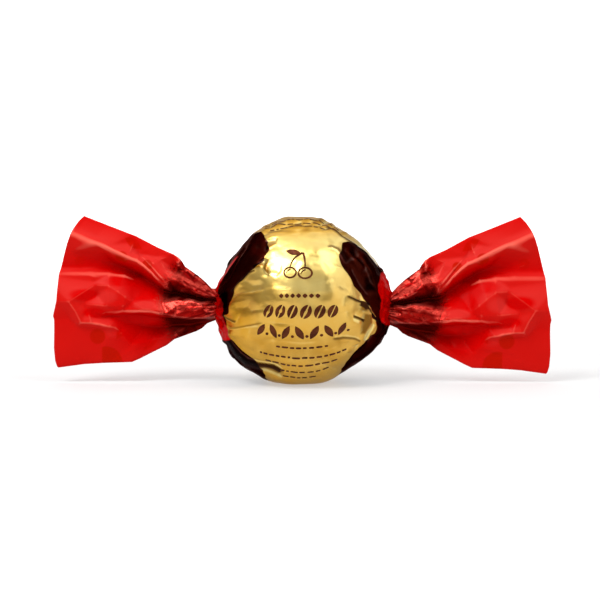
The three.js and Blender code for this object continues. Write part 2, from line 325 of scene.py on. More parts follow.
# The ball's wrapper. Paths and corners are (x, z) in mm as the label's side shows them, from the
# ball's middle. The limits of the gold and the red are (degrees round the ball, mm from the middle).
wrapper = {
    "around": 400,
    "across": 236,
    "frontCrowding": 0.34,      # how much closer the points lie on the label's side
    "neckCrowding": 0.12,       # and at the necks
    "filmShare": 0.993,         # of the ball's radius, on which the relief stands
    "shoulderPull": (0.125, 0.105),  # share by which the film cuts inside a true ball, left and right
    "pullRange": (0.25, 0.85),  # of the way out, over which that sets in
    "pullEase": (0.5, 0.45),    # how much weaker it is at the lower left, and above
    "easeLow": (-0.3, -0.9),    # sines of the angle over which that sets in
    "easeHigh": (0.2, 0.8),
    "leftNeckPull": 0.7,        # how far the left neck is drawn into the ball
    "neckPullRange": (0.55, 0.9),
    "sag": (1.5, 0.35),         # of the film on the left and on the right
    "sagRange": (0.15, 0.9),
    "frontRange": (-0.02, 0.22),  # cosines over which the back's relief gives way to the label's
    # faint lines of tension: where they lie, and how far they draw together towards the necks
    "tension": {"count": 50, "up": 15, "left": (-15, 8), "length": (2.5, 9), "drawn": (0.15, 0.7),
                "bend": 0.4, "height": (0.04, 0.17), "width": (0.25, 0.9), "edge": 0.06, "fade": 0.35},
    "facePitch": (2.9, 2.0),    # of the crumpled faces, across and up
    "faceStray": 0.4,           # share of the pitch by which they stray
    "faceDepth": 0.12,
    "endFaceDepth": 0.14,       # and how much deeper they are at the ends
    "endRange": (6, 13),
    "faceArea": 24,             # half the side of the square that they are worked out on
    "faceCell": 0.15,           # and the step of its grid
    "topCrinkle": 0.22,
    "topCrinkleSize": 2.6,
    "topCrinkleRange": (13.5, 17),
    "neckPleats": 17,
    "pleatDepth": 0.6,
    "bowls": 110,
    "bowlDepth": 0.018,
    "bowlLimit": 14,            # square of the distance at which a bowl ends
    "swell": (0.12, 12),        # height and size of each unevenness
    "ripple": (0.035, 4.5),
    "neckCrumple": (0.13, 1.9),
    "neckCrumpleRange": (0.66, 0.85),
    "floorGap": 0.35,           # height under which the film is pressed flat
    "dimple": (0.55, 0.5),      # share of a neck that its dimple leaves open, and how deep it is
    "limitWave": 0.22,          # unevenness of the print's limits
    "toneHollow": 0.25,         # how much hollow, and how much crest, a full tone stands for: painted shade below 0, painted highlight above
    "toneCrest": 0.11,
    "hollowPasses": 14,         # of softening, that a hollow or a crest is measured against
    "crestPasses": 4,
    "paleUp": (0.25, -9, 12),   # painted light on the top: how pale the gold is at the least, and where that rises to 1
    "paleRight": (0.2, -14, -3),
    "paleTop": 0.85,            # how much less of that painted light the very top has again
    "paleTopRange": (12.5, 16),
    # the back's overlap of the film, and its creases: where they start and end, and how deep they are
    "back": {"seam": {"path": [(-18, -4.5), (-9, -6.2), (9, -6.0), (20, -4.4)], "step": 0.4, "reach": 5.0},
             "creases": 30, "up": 17, "far": (12, 17), "near": (2, 8), "drawn": 0.55,
             "height": (-0.35, 0.4), "widths": (1.2, 0.9), "faces": 1.3},
    "goldLimitLeft": [(-160, 9), (-135, 8), (-110, 7.4), (-90, 6.9), (-73, 7.1), (-64, 8.1), (-57.5, 8.6),
                      (-54.5, 10.6), (-51, 12.8), (-47, 14.3), (-42, 15.0), (-36, 15.6), (-22, 16.1),
                      (-13, 16.1), (-10, 15.0), (-2, 14.7), (8, 14.3), (13, 13.9), (18, 13.5), (21, 12.4),
                      (27, 8.9), (31, 7.7), (35, 6.9), (39, 6.4), (45, 6.6), (56, 7.0), (67, 8.5),
                      (85, 10.4), (100, 12.5), (120, 9), (140, 7.5), (165, 11)],
    "goldLimitRight": [(-165, 15), (-150, 11), (-130, 9), (-110, 9.2), (-87, 9.5), (-70, 10.4),
                       (-56, 12.1), (-51, 13.1), (-48, 14.2), (-46, 16.0), (-42, 17.5), (-34, 18.0),
                       (-23, 17.3), (-15, 16.4), (-8, 16.7), (-1, 15.6), (4, 14.5), (10, 13.8), (18, 12.0),
                       (22, 10.9), (31, 9.3), (44, 9.6), (51, 10.4), (58, 13.6), (66, 17.0), (80, 18.5),
                       (100, 17), (120, 10), (140, 9), (165, 13)],
    # the film's turned edge shows gold again beyond the limit: paths, each with half its width
    "goldTrims": [([(15.0, 0.2), (15.9, -0.8), (17.5, -2.8)], 0.14)],
    "redLimitLeft": [(-150, 17.5), (-100, 18.0), (-80, 17.0), (-66, 16.4), (-52, 15.7), (-46, 15.1),
                     (-42, 15.0), (-38, 15.2), (-29, 15.7), (-14, 16.4), (4, 16.2), (15, 17.0), (27, 17.6),
                     (40, 17.8), (50, 17.8), (54.5, 17.2), (57, 16.0), (60, 14.1), (64, 13.6), (70, 15.5),
                     (80, 16.8), (105, 16.6), (140, 16.4), (180, 17)],
    "redLimitRight": [(-150, 18.2), (-110, 19.6), (-60, 20.8), (-39, 19.9), (-28, 19.1), (-17, 18.6),
                      (1, 18.8), (10, 18.9), (17, 18.1), (25, 17.9), (32, 18.3), (55, 18.8), (70, 19.4),
                      (90, 19.2), (130, 18), (180, 18.5)],
    # folds of the film over itself: how high the upper film stands, how far that reaches, and how
    # far the painted shadow under it does
    "flaps": [
        {"path": [(18.9, 6.4), (17.1, 9.0), (15.3, 10.8), (12.7, 12.6), (11.0, 13.5), (9.1, 15.2),
                  (6.0, 17.2)], "step": -0.75, "reach": 2.6, "shade": 0.6},
        {"path": [(-15.9, -6.4), (-14.6, -9.0), (-12.9, -11.2), (-11.2, -12.7), (-8.8, -13.7),
                  (-5.3, -14.6), (-3.2, -15.7), (-2.9, -16.6)], "step": 0.6, "reach": 1.5, "shade": 1.05,
         "dark": 1.0},
        {"path": [(15.4, -0.6), (14.8, 0.1), (12.9, 0.6), (10.9, 1.3)], "step": -0.4, "reach": 1.6,
         "shade": 0.5},
        {"path": [(18.2, -3.9), (17.4, -2.8), (15.8, -1.0), (14.9, 0.3)], "step": -0.3, "reach": 1.0,
         "shade": 0.4},
        {"path": [(12.3, -3.0), (13.4, -3.3), (15.0, -3.85)], "step": 0.28, "reach": 1.2, "shade": 0.5},
        {"path": [(-16.6, -1.8), (-15.2, -2.9), (-13.4, -4.0)], "step": -0.3, "reach": 1.5, "shade": 0.4,
         "dark": 0.8},
        {"path": [(7.6, -8.2), (10.2, -7.9), (13.0, -8.1), (14.4, -8.6)], "step": 0.3, "reach": 1.6,
         "shade": 0.35, "dark": 0.7},
        {"path": [(6.4, 11.4), (7.6, 11.5), (8.6, 11.0), (9.6, 9.9), (10.8, 8.2)], "step": -0.35,
         "reach": 1.4, "shade": 0.35, "dark": 0.7},
        {"path": [(-15.4, -4.9), (-13.2, -5.2), (-10.4, -5.2), (-7.4, -5.0)], "step": -0.32, "reach": 1.5,
         "shade": 0.3, "dark": 0.45},
        {"path": [(-14.6, 1.6), (-12.4, 2.2), (-10.0, 2.1), (-7.2, 2.6)], "step": 0.25, "reach": 1.3,
         "shade": 0.25, "dark": 0.4},
        {"path": [(-14.8, 3.0), (-12.6, 5.0), (-10.4, 6.6), (-8.9, 7.2)], "step": 0.3, "reach": 1.6,
         "shade": 0.5},
    ],
    # faces that lean out of the film's own way; a tone paints shade (below 0) or a highlight (above 0) on a
    # face, and dark paints shadow on it
    "dents": [
        {"corners": [(-4.4, 13.8), (-6.9, 13.4), (-6.6, 11.2), (-4.5, 12.6)], "lean": (-0.05, 0.4),
         "rise": 0.1, "soft": 0.2, "tone": -0.85, "dark": 0.12},
        {"corners": [(-7.1, 9.4), (-9.4, 7.9), (-9.0, 7.3), (-7.4, 7.6)], "lean": (0.1, 0.4), "rise": 0.05,
         "soft": 0.2, "tone": -0.9, "dark": 0.15},
        {"corners": [(-6.5, 9.2), (-7.4, 8.9), (-7.6, 7.5), (-6.1, 5.6)], "lean": (-0.35, 0.3),
         "rise": 0.05, "soft": 0.2, "tone": -0.9, "dark": 0.15},
        {"corners": [(-3.4, 8.7), (-4.7, 9.6), (-6.3, 9.0), (-5.9, 6.2), (-4.6, 5.0), (-3.3, 6.4)],
         "lean": (0.05, -0.05), "rise": 0.08},
        {"corners": [(-0.8, 11.9), (-2.3, 12.1), (-1.8, 10.5), (-0.6, 9.8)], "lean": (0.05, -0.07),
         "rise": 0.05},
        {"corners": [(16.6, -2.4), (14.6, -2.2), (14.0, -4.0), (13.9, -7.4), (15.2, -6.9), (16.6, -4.4)],
         "lean": (-0.28, 0.05), "rise": -0.1, "soft": 0.6, "tone": -1.0, "dark": 0.35},
        {"corners": [(17.6, -4.8), (16.9, -4.4), (15.9, -5.9), (15.0, -7.2), (14.8, -8.3), (15.9, -9.2),
                     (16.7, -6.7)], "lean": (0.22, -0.1), "rise": 0.2, "soft": 0.3, "tone": 1.2},
        {"corners": [(18.4, -5.2), (17.7, -4.8), (16.8, -6.7), (16.0, -9.2), (17.4, -7.5), (18.1, -6.3)],
         "lean": (-0.2, 0.0), "rise": 0.2, "soft": 0.4},
        {"corners": [(15.8, -1.4), (13.6, -1.5), (14.6, -2.4)], "lean": (0.0, -0.4), "rise": 0.1,
         "dark": 0.3},
        {"corners": [(13.9, -9.3), (11.6, -9.8), (10.9, -11.2), (13.0, -11.4)], "lean": (0.25, 0.1),
         "rise": 0.0},
        {"corners": [(16.2, 0.0), (14.5, 0.3), (13.7, -0.7), (14.8, -1.6), (16.0, -1.2)], "soft": 0.2,
         "dark": 0.9},
        {"corners": [(13.9, -3.9), (12.2, -3.4), (12.0, -4.4), (13.6, -5.0)], "lean": (0.0, 0.2),
         "tone": 0.9},
    ],
    # patches that stay smooth and only carry paint: painted shade that deepens the gold and turns the brown
    # black, painted highlights that make the gold paler, and painted shadow (dark)
    "patches": [
        {"corners": [(16.4, 0.8), (12.0, 0.9), (11.4, -3.2), (16.4, -2.8)], "soft": 1.6, "tone": -0.6,
         "dark": 0.15},
        {"corners": [(-7.0, 3.8), (-15.2, 4.6), (-16.4, -1.0), (-14.8, -4.6), (-7.6, -4.0)], "soft": 3.0,
         "tone": -0.45},
        {"corners": [(7.0, 14.2), (6.0, 19.0), (-6.0, 19.0), (-7.6, 14.2)], "soft": 1.2, "tone": -0.35},
        {"corners": [(11.0, 9.2), (9.6, 13.6), (5.6, 14.0), (6.4, 9.8)], "soft": 2.0, "tone": -0.3},
        {"corners": [(18.2, 2.4), (16.8, 6.6), (14.6, 6.2), (14.8, 2.0)], "soft": 1.2, "tone": -1.0},
        {"corners": [(-14.9, -0.6), (-14.8, 3.4), (-17.0, 4.0), (-17.6, -0.6)], "soft": 0.8, "tone": -1.0},
        {"corners": [(-10.8, -12.8), (-14.4, -8.8), (-16.6, -8.6), (-13.4, -13.4), (-11.4, -14.2)],
         "soft": 0.8, "tone": -1.0},
        {"corners": [(-8.6, -15.5), (-3.4, -17.4), (-2.9, -16.9), (-8.4, -14.9)], "soft": 0.3,
         "tone": 0.7},
        {"corners": [(-9.0, -15.4), (-12.4, -13.6), (-14.6, -11.6), (-12.6, -15), (-8, -17.6)],
         "soft": 0.5, "tone": 0.9},
        {"corners": [(13, -6), (-12, -6), (-9, -15), (9, -15)], "soft": 4.0, "tone": -0.4},
        {"corners": [(9, 5.5), (-5, 5.5), (-5, 0.5), (9, 0.5)], "soft": 2.0, "tone": 0.45},
    ],
    "creases": [
        {"path": [(14.0, -1.0), (15.0, -1.6), (15.8, -0.6)], "height": -0.5, "widths": (0.5, 0.7)},
        {"path": [(-8.0, 16.4), (-4, 17.3), (0.5, 17.7), (4.0, 17.0), (7.0, 16.0)], "height": 0.3,
         "widths": (0.8, 2.0), "edge": 0.2},
        {"path": [(-14.0, 3.2), (-9.0, 2.5), (-4.0, 3.2), (1.4, 2.6), (4.6, 2.2), (9.0, 2.4)],
         "height": 0.18, "widths": (2.0, 0.9), "edge": 0.4},
        {"path": [(0.6, 2.0), (4.6, 1.5)], "height": 0.1, "widths": (0.4, 0.3), "edge": 0.1},
        {"path": [(-14.5, -0.4), (-10.0, -1.4), (-5.0, -0.9)], "height": 0.14, "widths": (1.0, 0.7),
         "edge": 0.3},
        {"path": [(-15.0, -4.6), (-9.5, -5.5), (-4.0, -5.9)], "height": 0.24, "widths": (0.9, 0.6),
         "edge": 0.2},
        {"path": [(-15.6, -6.2), (-13.0, -6.9), (-10.8, -7.6)], "height": -0.26, "widths": (0.7, 0.5),
         "edge": 0.15},
        {"path": [(-3.5, 12.5), (-5.0, 9.5), (-4.0, 6.0)], "height": 0.12, "widths": (1.4, 1.0),
         "edge": 0.4},
        {"path": [(3.0, 13.0), (5.0, 9.0), (6.4, 5.0), (7.2, 1.6)], "height": -0.16, "widths": (1.2, 1.4),
         "edge": 0.4},
        {"path": [(8.6, 7.0), (11.0, 3.0), (12.6, 1.0)], "height": 0.14, "widths": (1.0, 1.4),
         "edge": 0.4},
        {"path": [(10.4, 11.2), (12.6, 9.4), (15.2, 7.2)], "height": -0.45, "widths": (0.7, 0.5),
         "edge": 0.12},
        {"path": [(11.8, 12.4), (13.6, 9.6), (15.8, 6.6), (17.4, 3.0)], "height": 0.45,
         "widths": (0.8, 1.1)},
        {"path": [(13.6, 10.6), (16.2, 6.8), (18.2, 2.6)], "height": -0.45, "widths": (0.9, 0.6)},
        {"path": [(11.4, 8.0), (13.6, 4.8), (16.4, 1.2)], "height": 0.3, "widths": (0.5, 0.8)},
        {"path": [(-10.9, 13.5), (-12.1, 12.2), (-13.0, 10.6), (-14.3, 9.0), (-15.4, 6.6), (-16.9, 5.6)],
         "height": 0.4, "widths": (0.5, 1.1), "edge": 0.12},
        {"path": [(-7.0, 13.2), (-9.0, 12.8), (-11.0, 11.6)], "height": -0.2, "widths": (0.6, 0.6)},
        {"path": [(-9.4, 7.6), (-11.6, 5.6), (-14.0, 3.0)], "height": -0.3, "widths": (0.6, 0.5),
         "edge": 0.1},
        {"path": [(12.0, -13.0), (15.2, -9.8), (18.0, -6.5)], "height": 0.35, "widths": (1.0, 1.0)},
        {"path": [(13.4, -14.2), (16.4, -11.4), (19.2, -7.6)], "height": -0.4, "widths": (0.8, 0.8)},
        {"path": [(-16.8, -7.6), (-14.4, -11.4), (-11.8, -14.2)], "height": 0.35, "widths": (0.7, 0.7)},
        {"path": [(-8.6, -15.1), (-6.4, -15.8), (-4.2, -16.6), (-3.2, -17.2)], "height": 0.35,
         "widths": (0.7, 0.5)},
        {"path": [(3.0, -13.4), (6.6, -14.6), (9.6, -15.6)], "height": 0.16, "widths": (0.8, 0.6),
         "edge": 0.2},
    ],
}


def ballBase(across, angle):
    # x = reach sin b / sin B + neck pull, r = R cos b (1 - pull), y = -r cos a, z = middle + r sin a
    # b runs from the middle (0) to a neck (B), and a is the angle up from the front; the shoulder's
    # pull is strongest at middle height, weaker above and, on the left, below
    left = across < 0
    out = np.abs(across)
    swing = out * sweet["neckSwing"]
    reach = np.where(left, -sweet["leftNeck"], sweet["rightNeck"])
    x = np.sign(across) * reach * np.sin(swing) / math.sin(sweet["neckSwing"])
    x = x + np.where(left, wrapper["leftNeckPull"], 0) * blendOver(*wrapper["neckPullRange"], out)
    pull = np.where(left, *wrapper["shoulderPull"]) * blendOver(*wrapper["pullRange"], np.sin(swing))
    pull = pull * (1 - out ** 8)
    easeLow, easeHigh = wrapper["pullEase"]
    pull = pull * (1 - np.where(left, easeLow, 0.0) * blendOver(*wrapper["easeLow"], np.sin(angle))
                   - easeHigh * blendOver(*wrapper["easeHigh"], np.sin(angle)))
    r = sweet["ballRadius"] * wrapper["filmShare"] * np.cos(swing) * (1 - pull)
    sag = np.where(left, *wrapper["sag"]) * blendOver(*wrapper["sagRange"], out) * (1 - out ** 6)
    drop = np.where(left, sweet["leftNeckDrop"], sweet["rightNeckDrop"]) * out ** 3
    y = -r * np.cos(angle)
    z = sweet["middleHeight"] - sag - drop + r * np.sin(angle)
    return np.stack([x, y, z], -1), r


def neckPleatWave(angle, seed):
    # sharp valleys and round crests round a neck, unevenly spaced: |sin(n a / 2 + warp)|
    rng = np.random.default_rng(seed)
    phases = rng.uniform(0, 2 * math.pi, 3)
    warp = 0.5 * np.sin(2 * angle + phases[0]) + 0.35 * np.sin(3 * angle + phases[1])
    turns = wrapper["neckPleats"] // 2
    first = np.abs(np.sin(turns * angle + warp))
    second = np.abs(np.sin((turns + 5) * angle + 2 * warp + phases[2]))
    return 0.65 * first + 0.35 * second - 0.6


def crumpledFaces(x, z, rng):
    # flat faces all over the film, deeper beside the two ends: random heights at random places
    area, cell = wrapper["faceArea"], wrapper["faceCell"]
    line = np.arange(-area, area + 0.01, cell)
    far = area + 1
    places = [(-far, -far, 0), (far, -far, 0), (far, far, 0), (-far, far, 0)]
    pitchX, pitchZ = wrapper["facePitch"]
    rows, columns = np.arange(2 - area, area - 2, pitchZ), np.arange(1 - area, area - 2, pitchX)
    for placeZ, placeX, strayX, strayZ in strewn(rng, rows, columns, pitchX, wrapper["faceStray"]):
        placeX, placeZ = placeX + strayX * pitchX, placeZ + strayZ * pitchZ
        depth = wrapper["faceDepth"] + wrapper["endFaceDepth"] * blendOver(*wrapper["endRange"], abs(placeX))
        places.append((placeX, placeZ, rng.uniform(-1, 1) * depth))
    crumpled = soften(foldedFaces(places, [], line, line), 2, False)
    return readGrid(crumpled, (x + area) / cell, (z + area) / cell)


def tensionLine(rng):
    # a faint crease, bent a little, that draws together with the others towards the necks
    tension = wrapper["tension"]
    start = rng.uniform(-tension["up"], tension["up"])
    drawn = rng.uniform(*tension["drawn"])
    left = rng.uniform(*tension["left"])
    right = left + rng.uniform(*tension["length"])
    middle = (left + right) / 2
    bend = rng.uniform(-tension["bend"], tension["bend"])
    path = [(place, start * (1 - drawn * (place / 20) ** 2) + rise)
            for place, rise in ((left, 0), (middle, bend), (right, 0))]
    height = rng.choice([-1, 1]) * rng.uniform(*tension["height"])
    widths = (rng.uniform(*tension["width"]), rng.uniform(*tension["width"]))
    return {"path": path, "height": height, "widths": widths, "edge": tension["edge"],
            "fade": tension["fade"]}


def labelRelief(x, z, faces):
    # the label's side: flaps, creases and dents, tension lines, fine crinkles over the top, crumpled faces
    height = sum(flapHeight(flap, x, z) for flap in wrapper["flaps"])
    height = height + sum(creaseHeight(crease, x, z) for crease in wrapper["creases"])
    height = height + sum(plane for _, plane, _ in faces)
    rng = np.random.default_rng(77)
    for _ in range(wrapper["tension"]["count"]):
        height = height + creaseHeight(tensionLine(rng), x, z)
    flat = np.stack([x, 0 * x, z], -1)
    crinkle = wrapper["topCrinkle"] * waves(flat * [1, 1, 2.5], wrapper["topCrinkleSize"], 41)
    height = height + crinkle * blendOver(*wrapper["topCrinkleRange"], z)
    return height + crumpledFaces(x, z, rng)


def backRelief(x, z):
    # the back: the overlap of the film, creases that run from a neck over the ball, crumpled faces
    back = wrapper["back"]
    rng = np.random.default_rng(31)
    height = flapHeight(back["seam"], x, z)
    for _ in range(back["creases"]):
        side = rng.choice([-1, 1])
        start = rng.uniform(-back["up"], back["up"])
        path = [(side * rng.uniform(*back["far"]), start * back["drawn"]),
                (side * rng.uniform(*back["near"]), start)]
        crease = {"path": path, "height": rng.uniform(*back["height"]), "widths": back["widths"]}
        height = height + creaseHeight(crease, x, z)
    return height + back["faces"] * crumpledFaces(x, z, rng)


def wrapperRelief(across, angle, base, x, z, front, faces):
    # both sides' relief, pleats that grow with out^5 towards the necks, shallow bowls, swells and
    # ripples, and a crumple where the film is drawn in to the necks
    height = labelRelief(x, z, faces) * front + backRelief(x, z) * (1 - front)
    out = np.abs(across)
    pleats = np.where(across < 0, neckPleatWave(angle, 5), neckPleatWave(angle, 9))
    height += wrapper["pleatDepth"] * pleats * out ** 5
    spots = np.random.default_rng(12).normal(size=(wrapper["bowls"], 3))
    spots = spots / np.linalg.norm(spots, axis=1)[:, None] * sweet["ballRadius"]
    spots[:, 2] += sweet["middleHeight"]
    bowls = hollows(base, spots, np.array([0.8, 1.0, 1.0]))
    height += wrapper["bowlDepth"] * (np.minimum(bowls, wrapper["bowlLimit"]) - bowls.mean())
    (swell, swellSize), (ripple, rippleSize) = wrapper["swell"], wrapper["ripple"]
    height += (swell * waves(base * [0.8, 1, 1], swellSize, 3)
               + ripple * waves(base * [0.6, 1, 1], rippleSize, 4))
    crumple, crumpleSize = wrapper["neckCrumple"]
    crumples = crumple * waves(base * [0.5, 1, 1], crumpleSize, 15)
    height += crumples * blendOver(*wrapper["neckCrumpleRange"], out)
    return soften(height, 1)


def printLimits(base, x, z, degrees, front):
    # mm inside the gold's limit, and mm beyond the red's
    left = x < 0
    goldLimit = np.where(left, roundCurve(wrapper["goldLimitLeft"], degrees),
                         roundCurve(wrapper["goldLimitRight"], degrees))
    gold = goldLimit + wrapper["limitWave"] * waves(base, 3, 6) - np.abs(x)
    for path, halfWidth in wrapper["goldTrims"]:
        gold = np.maximum(gold, np.where(front > 0.5, halfWidth - nearPath(path, x, z)[0], -1))
    redLimit = np.where(left, roundCurve(wrapper["redLimitLeft"], degrees),
                        roundCurve(wrapper["redLimitRight"], degrees))
    return gold, np.abs(x) - redLimit


def makeWrapper():
    # grid of (across, angle) on the ball, moved out by the relief along the ball's normal
    turn = np.arange(wrapper["around"]) / wrapper["around"] * 2 * math.pi
    angle = turn - wrapper["frontCrowding"] * np.sin(turn)
    share = np.linspace(-1, 1, wrapper["across"])
    share = share * (1 + wrapper["neckCrowding"] * (1 - share ** 2))
    acrossGrid, angleGrid = np.meshgrid(share, angle, indexing="ij")
    base, radius = ballBase(acrossGrid, angleGrid)
    normal = -normalsOf(base)
    normal[0] = normal[1]
    normal[-1] = normal[-2]
    labelAngle = angleGrid - math.radians(sweet["labelTilt"])
    x = base[..., 0]
    z = radius * np.sin(labelAngle)
    front = blendOver(*wrapper["frontRange"], np.cos(labelAngle))
    faces = [(face, *dentFace(face, x, z)) for face in wrapper["dents"] + wrapper["patches"]]
    height = wrapperRelief(acrossGrid, angleGrid, base, x, z, front, faces)

    # what the film's material reads: tones of painted shade and highlight, painted shadow under the folds,
    # and the painted light that makes the top paler
    tone = sum(face.get("tone", 0) * within for face, _, within in faces) * front
    shade = sum(flapShade(flap, x, z) for flap in wrapper["flaps"])
    shade = shade + sum(face.get("dark", 0) * within for face, _, within in faces)
    # painted light: the gold paler up the front and towards the right
    pale = riseFrom(*wrapper["paleUp"], z) * riseFrom(*wrapper["paleRight"], x)
    gold, red = printLimits(base, x, z, np.degrees(labelAngle), front)
    fields = {
        "goldField": gold,
        "redField": red,
        "hollow": (soften(height, wrapper["hollowPasses"]) - height
                   - wrapper["toneHollow"] * np.minimum(tone, 0)),
        "crest": (height - soften(height, wrapper["crestPasses"])
                  + wrapper["toneCrest"] * np.maximum(tone, 0)),
        "pale": pale * (1 - wrapper["paleTop"] * blendOver(*wrapper["paleTopRange"], z)),
        "shade": np.minimum(shade, 1) * front,
        "filmAcross": acrossGrid * sweet["neckSwing"] * sweet["ballRadius"],
        "filmAround": labelAngle * sweet["ballRadius"],
    }

    # the film is pressed flat on the floor, and each neck is closed by a dimple that the tail comes out of
    skin = base + normal * height[..., None]
    gap = wrapper["floorGap"]
    skin[..., 2] = np.where(skin[..., 2] < gap, gap * np.exp((skin[..., 2] - gap) / gap), skin[..., 2])
    dimples = []
    opening, depth = wrapper["dimple"]
    for ring, inward in ((skin[0], depth), (skin[-1], -depth)):
        centre = ring.mean(0)
        dimples.append(centre + (ring - centre) * opening + [inward, 0, 0])
    rings = np.concatenate([dimples[0][None], skin, dimples[1][None]])
    fields = {key: np.concatenate([f[:1], f, f[-1:]])[:, ::-1] for key, f in fields.items()}
    filmMap = (fields.pop("filmAcross"), fields.pop("filmAround"))
    piece = ringMesh("ball_wrapper", rings[:, ::-1], (True, True), fields, filmMap)
    return piece, {"skin": skin, "share": share, "angle": angle, "normal": -normalsOf(skin)}


# The print on the label: plain ornaments in brown ink. Places are mm on the film, to the right and up
# from the middle of the label's side, and rows lie at their height up the film.
label = {
    "inkHeight": 0.08,         # how far the ink stands proud of the film
    "emblemHeight": 7.9,
    "cherries": [(-1.5, -1.7), (1.6, -1.9)],
    "cherryRadius": 1.5,
    "cherryFlat": 0.94,        # its height as a share of its width
    "stemTop": (1.2, 3.2),
    "line": 0.38,              # width of the emblem's lines
    "leaf": {"length": 3.5, "width": 0.72, "turn": -18, "from": (-2.0, 0.3)},  # the top of the stem
    # ornaments of the rows, as shares of their size, with turns in degrees; dashes are in mm
    "bean": {"width": 0.6, "slit": 0.09, "turn": -24},
    "rowLeaf": {"length": 2.1, "width": 0.42, "turns": (62, 118), "dot": 0.2, "dotDrop": 0.5},
    "dash": {"length": (0.5, 1.7), "gap": (0.28, 0.5), "stray": 0.05},
    "rows": [
        {"up": 0.9, "from": -3.4, "to": 4.2, "motif": "dots", "size": 0.5, "pitch": 1.25},
        {"up": -2.6, "from": -6.4, "to": 7.8, "motif": "beans", "size": 1.55, "pitch": 2.72},
        {"up": -7.3, "from": -8.2, "to": 9.6, "motif": "leaves", "size": 1.65, "pitch": 2.9},
        {"up": -11.1, "from": -4.6, "to": 5.6, "motif": "dashes", "size": 0.42},
        {"up": -14.0, "from": -8.6, "to": 9.6, "motif": "dashes", "size": 0.5},
        {"up": -16.6, "from": -7.4, "to": 8.6, "motif": "dashes", "size": 0.46},
        {"up": -19.0, "from": -3.8, "to": 5.2, "motif": "dashes", "size": 0.36},
        {"up": -21.3, "from": -3.2, "to": 3.8, "motif": "dashes", "size": 0.34},
        {"up": 20.4, "from": -6.2, "to": 7.0, "motif": "dashes", "size": 0.26},
        {"up": 22.4, "from": -7.4, "to": 8.0, "motif": "dashes", "size": 0.26},
        {"up": 24.4, "from": -7.4, "to": 8.0, "motif": "dashes", "size": 0.26},
    ],
}


def placeOnFilm(surface, x, up):
    # film place -> swing x / R and angle up / R + tilt -> the wrapper's grid there, with its normal
    swing = x / sweet["ballRadius"] / sweet["neckSwing"]
    angle = up / sweet["ballRadius"] + math.radians(sweet["labelTilt"])
    turns = np.concatenate([surface["angle"] - 2 * math.pi, surface["angle"]])
    row = np.interp(swing, surface["share"], np.arange(len(surface["share"])))
    column = np.interp(angle, turns, np.arange(len(turns)))
    skin = np.concatenate([surface["skin"], surface["skin"]], 1)
    normal = np.concatenate([surface["normal"], surface["normal"]], 1)
    return readGrid(skin, row, column), readGrid(normal, row, column)


def ringOutline(radiusX, radiusZ, power, points):
    # |x / a|^p + |z / b|^p = 1 as points: sign * |cos|^(2/p), sign * |sin|^(2/p)
    turn = (np.arange(points) + 0.5) / points * 2 * math.pi
    c, s = np.cos(turn), np.sin(turn)
    return np.stack([radiusX * np.sign(c) * np.abs(c) ** (2 / power),
                     radiusZ * np.sign(s) * np.abs(s) ** (2 / power)], -1)


def leafOutline(length, width, points):
    # two arcs between the tips: width * sin(pi t) ^ 0.8 on each side of the axis
    t = np.arange(points // 2) / (points // 2)
    upper = np.stack([length * (t - 0.5), width * np.sin(math.pi * t) ** 0.8], -1)
    return np.concatenate([upper, -upper])[::-1]


def beanHalf(width, height, slit, points):
    # half an ellipse, x = slit + width * cos, z = height * sin, from -90 to 90 degrees
    turn = np.linspace(-math.pi / 2, math.pi / 2, points)
    return np.stack([slit + width * np.cos(turn), height * np.sin(turn) * (1 - 0.1 * np.cos(turn))], -1)


def turned(outline, degrees, x, up):
    # rotation by an angle, then a move
    c, s = math.cos(math.radians(degrees)), math.sin(math.radians(degrees))
    return outline @ np.array([[c, s], [-s, c]]) + [x, up]


def strokeOutline(path, width, points):
    # a line of ink: a quadratic curve through three points, with a tapering width on both sides
    (ax, az), (bx, bz), (cx, cz) = path
    t = np.linspace(0, 1, points // 2)
    x = (1 - t) ** 2 * ax + 2 * t * (1 - t) * bx + t * t * cx
    z = (1 - t) ** 2 * az + 2 * t * (1 - t) * bz + t * t * cz
    dx, dz = np.gradient(x), np.gradient(z)
    length = np.hypot(dx, dz)
    half = width / 2 * (0.7 + 0.6 * t)
    left = np.stack([x - dz / length * half, z + dx / length * half], -1)
    right = np.stack([x + dz / length * half, z - dx / length * half], -1)
    return np.concatenate([right, left[::-1]])


def emblemShapes():
    # two cherries, each a ring with a stem and a gleam, and a leaf where the stems meet
    shapes = []
    radius, line, flat = label["cherryRadius"], label["line"], label["cherryFlat"]
    topX, topUp = label["stemTop"]
    topUp += label["emblemHeight"]
    for x, up in label["cherries"]:
        up += label["emblemHeight"]
        outer = ringOutline(radius, radius * flat, 2, 48)
        inner = ringOutline(radius - line, radius * flat - line, 2, 48)
        shapes.append((turned(np.concatenate([outer, inner]), 0, x, up), "band"))
        bendUp = label["emblemHeight"] + label["stemTop"][1] * 0.6
        stem = [(x, up + radius * 0.75), (x * 0.9 + 0.2, bendUp), (topX, topUp)]
        shapes.append((strokeOutline(stem, line, 28), "stroke"))
        gleam = [(x - radius * 0.55, up - 0.2), (x - radius * 0.45, up + 0.5), (x + 0.1, up + radius * 0.5)]
        shapes.append((strokeOutline(gleam, line * 0.7, 16), "stroke"))
    leaf = label["leaf"]
    besideX, besideUp = leaf["from"]
    outline = leafOutline(leaf["length"], leaf["width"], 32)
    shapes.append((turned(outline, leaf["turn"], topX + besideX, topUp + besideUp), "spot"))
    return shapes


